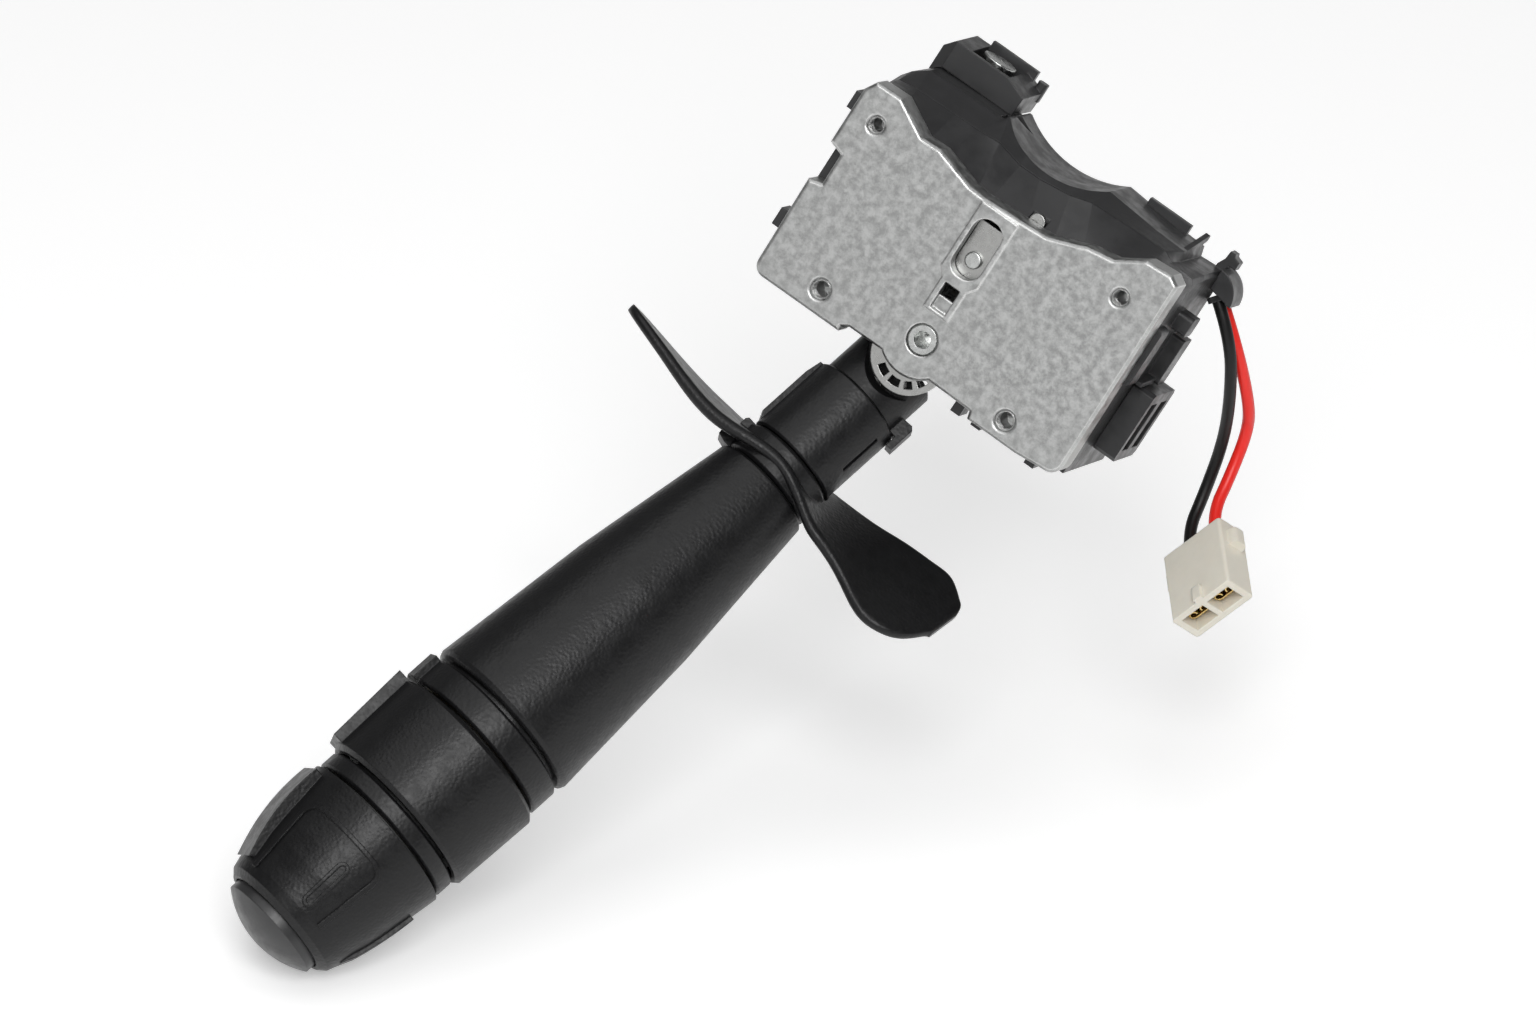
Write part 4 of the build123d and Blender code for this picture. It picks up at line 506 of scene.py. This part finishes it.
@dataclass
class LeadWires(SubAssembly):
    """The two free wires from the case's hood to the ivory plug.

    Args:
        leave_mm: the middle of the grommet's outer face.
        leave_way: the way the wires leave.
        straight_mm: the straight run out of the grommet.
        apart_mm: half the distance between the wires there.
        plug_mm: the middle of the plug's rear face.
        plug_way: from the plug's rear to its mouth.
        plug_across: across the plug's two cells.
        plug_run_mm: the straight run into the plug.
        pitch_mm: the distance between the cells.
        thick_mm: the wires' diameter.
        red_mm: the red wire's free points, from leave_mm.
        black_mm: the black wire's free points, from leave_mm.
        red_long_mm: the red wire's length.
        black_long_mm: the black wire's length.
        round_steps: steps round a quarter of a wire.
        run_steps: steps between two points of its route.
    """

    leave_mm: Vector = field(default_factory=lambda: Vector((46.6, 44.0, 44.0)))
    leave_way: Vector = field(default_factory=lambda: Vector((0.79, 0.0, -0.613)).normalized())
    straight_mm: float = 10.0
    apart_mm: float = 2.0
    plug_mm: Vector = field(default_factory=lambda: Vector((74.5, 52.3, -8.9)))
    plug_way: Vector = field(
        default_factory=lambda: Vector((0.602, -0.706, -0.374)).normalized())
    plug_across: Vector = field(default_factory=lambda: Vector((0.336, -0.201, 0.920)))
    plug_run_mm: float = 7.6
    pitch_mm: float = 8.3
    thick_mm: float = 3.0
    red_mm: tuple[tuple[float, float, float], ...] = (
        (17.5, 11.2, -18.4), (19.8, 18.9, -25.8), (22.5, 17.9, -37.7))
    black_mm: tuple[tuple[float, float, float], ...] = (
        (13.7, 6.6, -18.9), (16.4, 18.8, -31.7), (19.4, 19.5, -45.4))
    red_long_mm: float = 67.6
    black_long_mm: float = 74.7
    round_steps: int = 6
    run_steps: int = 16

    def build(self) -> None:
        """Lays both wires, which end at the plug."""
        self._wire("red_lead", "red_wire", Slot.RED, 1.0, self.red_mm, self.red_long_mm,
                   ("plug_body", "receptacles"))
        self._wire("black_lead", "black_wire", Slot.BLACK, -1.0, self.black_mm,
                   self.black_long_mm, ("plug_body",))

    def _wire(self, name: str, node: str, slot: Slot, side: float,
              points: tuple[tuple[float, float, float], ...], long_mm: float,
              carried: tuple[str, ...]) -> bpy.types.Object:
        """One wire as a smooth curve through its route.

        Args:
            name: the piece's name.
            node: the CAD node it stands for.
            slot: its finish.
            side: 1 for the upper cell, -1 for the lower.
            points: the free points, from leave_mm, in millimetres.
            long_mm: its length; not used.
            carried: nodes that hang on it; not used.

        Returns:
            The curve object.
        """
        start = self.leave_mm + Vector((0.0, side * self.apart_mm, 0.0))
        level = self.plug_across - self.plug_way * self.plug_across.dot(self.plug_way)
        entry = self.plug_mm + level.normalized() * (side * self.pitch_mm / 2)
        route = [start, start + self.leave_way * self.straight_mm]
        route += [self.leave_mm + Vector(point) for point in points]
        route += [entry - self.plug_way * self.plug_run_mm, entry]
        data = bpy.data.curves.new(name, "CURVE")
        data.dimensions = "3D"
        data.bevel_depth = 1.0
        data.bevel_resolution = self.round_steps
        data.resolution_u = self.run_steps
        data.use_fill_caps = True
        spline = data.splines.new("NURBS")
        spline.points.add(len(route) - 1)
        for control, place in zip(spline.points, route):
            control.co = (*(place * MM), 1.0)
            control.radius = self.thick_mm / 2 * MM
        spline.order_u = 3
        spline.use_endpoint_u = True
        wire = bpy.data.objects.new(name, data)
        bpy.context.scene.collection.objects.link(wire)
        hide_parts(node)
        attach(wire, "base")
        return self.finish_piece(wire, slot)


@dataclass
class Receptacles(SubAssembly):
    """The two brass receptacles in the plug: a flat floor with both sides rolled over.

    Args:
        wires: the lead, whose plug they sit in.
        floor_mm: half the flat floor's width.
        roll_mm: radius of the rolled sides.
        sheet_mm: thickness of the brass.
        back_mm: from the plug's rear to the receptacle's rear.
        long_mm: its length.
        steps: straight steps round a roll.
        turn: how far each side rolls, in radians.
        near_mm: how close an edge's ends lie to a side to belong to it.
    """

    wires: LeadWires
    floor_mm: float = 1.75
    roll_mm: float = 1.0
    sheet_mm: float = 0.35
    back_mm: float = 4.3
    long_mm: float = 14.2
    steps: int = 8
    turn: float = math.radians(285.0)
    near_mm: float = 0.01

    def build(self) -> None:
        """Models one receptacle, copies it and joins the pair."""
        bpy.ops.object.select_all(action="DESELECT")
        first = self._receptacle()
        second = first.copy()
        second.data = first.data.copy()
        bpy.context.scene.collection.objects.link(second)
        for piece, side in ((first, 1.0), (second, -1.0)):
            piece.data.transform(self._place(side))
        bpy.ops.object.select_all(action="DESELECT")
        first.select_set(True)
        second.select_set(True)
        bpy.context.view_layer.objects.active = first
        bpy.ops.object.join()
        first.name = "receptacles"
        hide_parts("plug_terminals")
        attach(first, "base")
        self.finish_piece(first, Slot.BRASS)

    def _place(self, side: float) -> Matrix:
        """From a receptacle's own axes to its cell.

        Args:
            side: 1 for the upper cell, -1 for the lower.

        Returns:
            The matrix, in metres.
        """
        way = self.wires.plug_way
        across = self.wires.plug_across
        across = (across - way * across.dot(way)).normalized()
        up = way.cross(across)
        middle = self.wires.plug_mm + across * (side * self.wires.pitch_mm / 2)
        middle = middle * MM
        return Matrix((
            (across.x, up.x, way.x, middle.x),
            (across.y, up.y, way.y, middle.y),
            (across.z, up.z, way.z, middle.z),
            (0.0, 0.0, 0.0, 1.0),
        ))

    def _receptacle(self) -> bpy.types.Object:
        """A strip whose sides are rolled step by step.

        Returns:
            The receptacle along its own Z, floor at the lower side.
        """
        low = -self.roll_mm
        bpy.ops.mesh.primitive_plane_add(
            size=1.0, location=(0.0, low * MM, (self.back_mm + self.long_mm / 2) * MM),
            rotation=(math.pi / 2, 0.0, 0.0))
        strip = bpy.context.object
        strip.scale = (2 * self.floor_mm * MM, self.long_mm * MM, 1.0)
        bpy.ops.object.transform_apply(location=True, rotation=True, scale=True)
        bpy.ops.object.mode_set(mode="EDIT")
        step = self.turn / self.steps
        for side in (1.0, -1.0):
            centre = Vector((side * self.floor_mm, 0.0, 0.0)) * MM
            self._select_side(strip, side)
            for _ in range(self.steps):
                bpy.ops.mesh.extrude_region_move()
                bpy.ops.transform.rotate(
                    value=-side * step, orient_axis="Z", orient_type="GLOBAL",
                    center_override=centre)
        bpy.ops.mesh.select_all(action="SELECT")
        bpy.ops.mesh.normals_make_consistent(inside=False)
        bpy.ops.object.mode_set(mode="OBJECT")
        sheet = strip.modifiers.new("sheet", "SOLIDIFY")
        sheet.thickness = self.sheet_mm * MM
        sheet.offset = 0.0
        bpy.ops.object.modifier_apply(modifier=sheet.name)
        return strip

    def _select_side(self, strip: bpy.types.Object, side: float) -> None:
        """Selects the edge on one side of the flat strip.

        Args:
            strip: the strip in edit mode.
            side: 1 or -1 along X.
        """
        bpy.ops.mesh.select_all(action="DESELECT")
        bpy.ops.object.mode_set(mode="OBJECT")
        for edge in strip.data.edges:
            ends = [strip.data.vertices[i].co for i in edge.vertices]
            edge.select = all(
                abs(end.x - side * self.floor_mm * MM) < self.near_mm * MM
                and abs(end.y + self.roll_mm * MM) < self.near_mm * MM for end in ends)
        bpy.ops.object.mode_set(mode="EDIT")
        bpy.ops.mesh.select_mode(type="EDGE")


@dataclass(frozen=True)
class Lamp:
    """A soft square light aimed at the switch.

    Args:
        name: the light's name.
        place_mm: its place in camera axes.
        size: its side in metres.
        level: how bright its face is, where 1 is white.
    """

    name: str
    place_mm: tuple[float, float, float]
    size: float
    level: float


@dataclass
class Studio:
    """Camera, floor and soft lights as in the photo.

    Args:
        right: the camera's right in the part's frame.
        up: the camera's up.
        back: from the part to the camera.
        target_mm: the point that shift_mm is counted from.
        shift_mm: that point's place in camera axes, the camera at zero.
        lens_mm: the camera's focal length.
        sensor_mm: the width of its picture.
        sight_m: how far it sees.
        floor_back: share of back in the floor's normal.
        floor_up: share of up in the floor's normal.
        floor_m: the floor's side.
        floor_color: its colour, linear.
        floor_roughness: its roughness.
        floor_lift: how much brighter it looks than the light on it makes it.
        sky_light: the surroundings' light on things, where 1 is white.
        sky_seen: the surroundings as the camera sees them.
        lamps: a broad light overhead, one by the camera and one low on the left.
    """

    right: Vector = field(default_factory=lambda: Vector((0.7960, 0.2974, 0.5272)))
    up: Vector = field(default_factory=lambda: Vector((-0.5744, 0.0966, 0.8128)))
    back: Vector = field(default_factory=lambda: Vector((0.1908, -0.9498, 0.2477)))
    target_mm: Vector = field(default_factory=lambda: Vector((0.0, 0.0, 4.3)))
    shift_mm: Vector = field(default_factory=lambda: Vector((36.09, 40.31, -2000.0)))
    lens_mm: float = 200.03
    sensor_mm: float = 36.0
    sight_m: float = 20.0
    floor_back: float = 0.5
    floor_up: float = 0.866
    floor_m: float = 8.0
    floor_color: tuple[float, float, float, float] = (0.9, 0.9, 0.9, 1.0)
    floor_roughness: float = 0.9
    floor_lift: float = 0.36
    sky_light: float = 0.18
    sky_seen: float = 0.70
    lamps: tuple[Lamp, ...] = (
        Lamp("overhead", (-150.0, 1400.0, 850.0), 1.5, 1.25),
        Lamp("front", (150.0, 430.0, 1900.0), 1.05, 6.8),
        Lamp("left", (-1250.0, -350.0, 1500.0), 1.2, 0.7),
    )

    def place(self, point_mm: tuple[float, float, float]) -> Vector:
        """A point given in camera axes, in the part's frame.

        Args:
            point_mm: right, up and towards the camera from the picture's middle, at the
                plate's depth.

        Returns:
            The point in metres.
        """
        x, y, z = point_mm
        moved = Vector((x, y, z)) - Vector((self.shift_mm.x, self.shift_mm.y, 0.0))
        return (self.target_mm + self.right * moved.x + self.up * moved.y
                + self.back * moved.z) * MM

    def build(self) -> None:
        """Places the camera, the floor and the lights."""
        self._camera()
        self._floor()
        for lamp in self.lamps:
            self._light(lamp)
        self._world()

    def _camera(self) -> None:
        """The camera at the photo's place."""
        data = bpy.data.cameras.new("camera")
        data.lens = self.lens_mm
        data.sensor_width = self.sensor_mm
        data.clip_end = self.sight_m
        camera = bpy.data.objects.new("camera", data)
        bpy.context.scene.collection.objects.link(camera)
        place = self.place((0.0, 0.0, -self.shift_mm.z))
        camera.matrix_world = Matrix((
            (self.right.x, self.up.x, self.back.x, place.x),
            (self.right.y, self.up.y, self.back.y, place.y),
            (self.right.z, self.up.z, self.back.z, place.z),
            (0.0, 0.0, 0.0, 1.0),
        ))
        bpy.context.scene.camera = camera

    def _floor(self) -> None:
        """The pale table under the knob's tip, clear from below."""
        normal = (self.back * self.floor_back + self.up * self.floor_up).normalized()
        tip = min((vertex.co for name in ("end_knob", "end_button")
                   for vertex in bpy.data.objects[name].data.vertices), key=normal.dot)
        bpy.ops.mesh.primitive_plane_add(size=self.floor_m)
        floor = bpy.context.object
        floor.name = "floor"
        floor.rotation_mode = "QUATERNION"
        floor.rotation_quaternion = normal.to_track_quat("Z", "Y")
        floor.location = tip.copy()
        material = bpy.data.materials.new("table")
        material.use_nodes = True
        tree = material.node_tree
        shader = tree.nodes["Principled BSDF"]
        shader.inputs["Base Color"].default_value = self.floor_color
        shader.inputs["Roughness"].default_value = self.floor_roughness
        shader.inputs["Specular IOR Level"].default_value = 0.0
        shader.inputs["Emission Color"].default_value = WHITE
        lift = self._seen(tree, BACKGROUND_RAYS, 0.0, self.floor_lift)
        tree.links.new(lift, shader.inputs["Emission Strength"])
        below = tree.nodes.new("ShaderNodeBsdfTransparent")
        side = tree.nodes.new("ShaderNodeNewGeometry")
        mix = tree.nodes.new("ShaderNodeMixShader")
        tree.links.new(side.outputs["Backfacing"], mix.inputs[0])
        tree.links.new(shader.outputs["BSDF"], mix.inputs[1])
        tree.links.new(below.outputs["BSDF"], mix.inputs[2])
        tree.links.new(mix.outputs["Shader"], tree.nodes["Material Output"].inputs["Surface"])
        floor.data.materials.append(material)

    def _seen(self, tree: bpy.types.NodeTree, rays: tuple[str, ...],
              otherwise: float, level: float) -> bpy.types.NodeSocket:
        """One level for some kinds of ray, another for the rest.

        Args:
            tree: the nodes.
            rays: the kinds, as Light Path names them.
            otherwise: the level for every other ray.
            level: the level for these rays.

        Returns:
            The level's socket.
        """
        path = tree.nodes.new("ShaderNodeLightPath")
        seen = path.outputs[rays[0]]
        for name in rays[1:]:
            either = tree.nodes.new("ShaderNodeMath")
            either.operation = "MAXIMUM"
            tree.links.new(seen, either.inputs[0])
            tree.links.new(path.outputs[name], either.inputs[1])
            seen = either.outputs["Value"]
        chosen = tree.nodes.new("ShaderNodeMapRange")
        chosen.inputs["To Min"].default_value = otherwise
        chosen.inputs["To Max"].default_value = level
        tree.links.new(seen, chosen.inputs["Value"])
        return chosen.outputs["Result"]

    def _light(self, lamp: Lamp) -> None:
        """Hangs one soft light and aims it at the switch.

        Args:
            lamp: the light.
        """
        data = bpy.data.lights.new(lamp.name, "AREA")
        data.shape = "SQUARE"
        data.size = lamp.size
        data.energy = lamp.level * math.pi * lamp.size * lamp.size
        light = bpy.data.objects.new(lamp.name, data)
        light.location = self.place(lamp.place_mm)
        aim = light.location - self.place((0.0, 0.0, 0.0))
        light.rotation_mode = "QUATERNION"
        light.rotation_quaternion = aim.to_track_quat("Z", "Y")
        bpy.context.scene.collection.objects.link(light)

    def _world(self) -> None:
        """Surroundings that look paler than the light they give."""
        world = bpy.data.worlds.new("world")
        world.use_nodes = True
        tree = world.node_tree
        ground = tree.nodes["Background"]
        ground.inputs["Color"].default_value = WHITE
        strength = self._seen(tree, CAMERA_RAYS, self.sky_light, self.sky_seen)
        tree.links.new(strength, ground.inputs["Strength"])
        bpy.context.scene.world = world


def save_size() -> None:
    """Updates the view layer."""
    bpy.context.view_layer.update()


def main() -> None:
    """Builds the scene."""
    bpy.context.scene.view_settings.view_transform = "Standard"
    workshop = Workshop()
    CadNodes(workshop).build()
    wires = LeadWires(workshop)
    Receptacles(workshop, wires).build()
    wires.build()
    Threads(workshop).build()
    Studio().build()
    save_size()


if __name__ == "__main__":
    main()
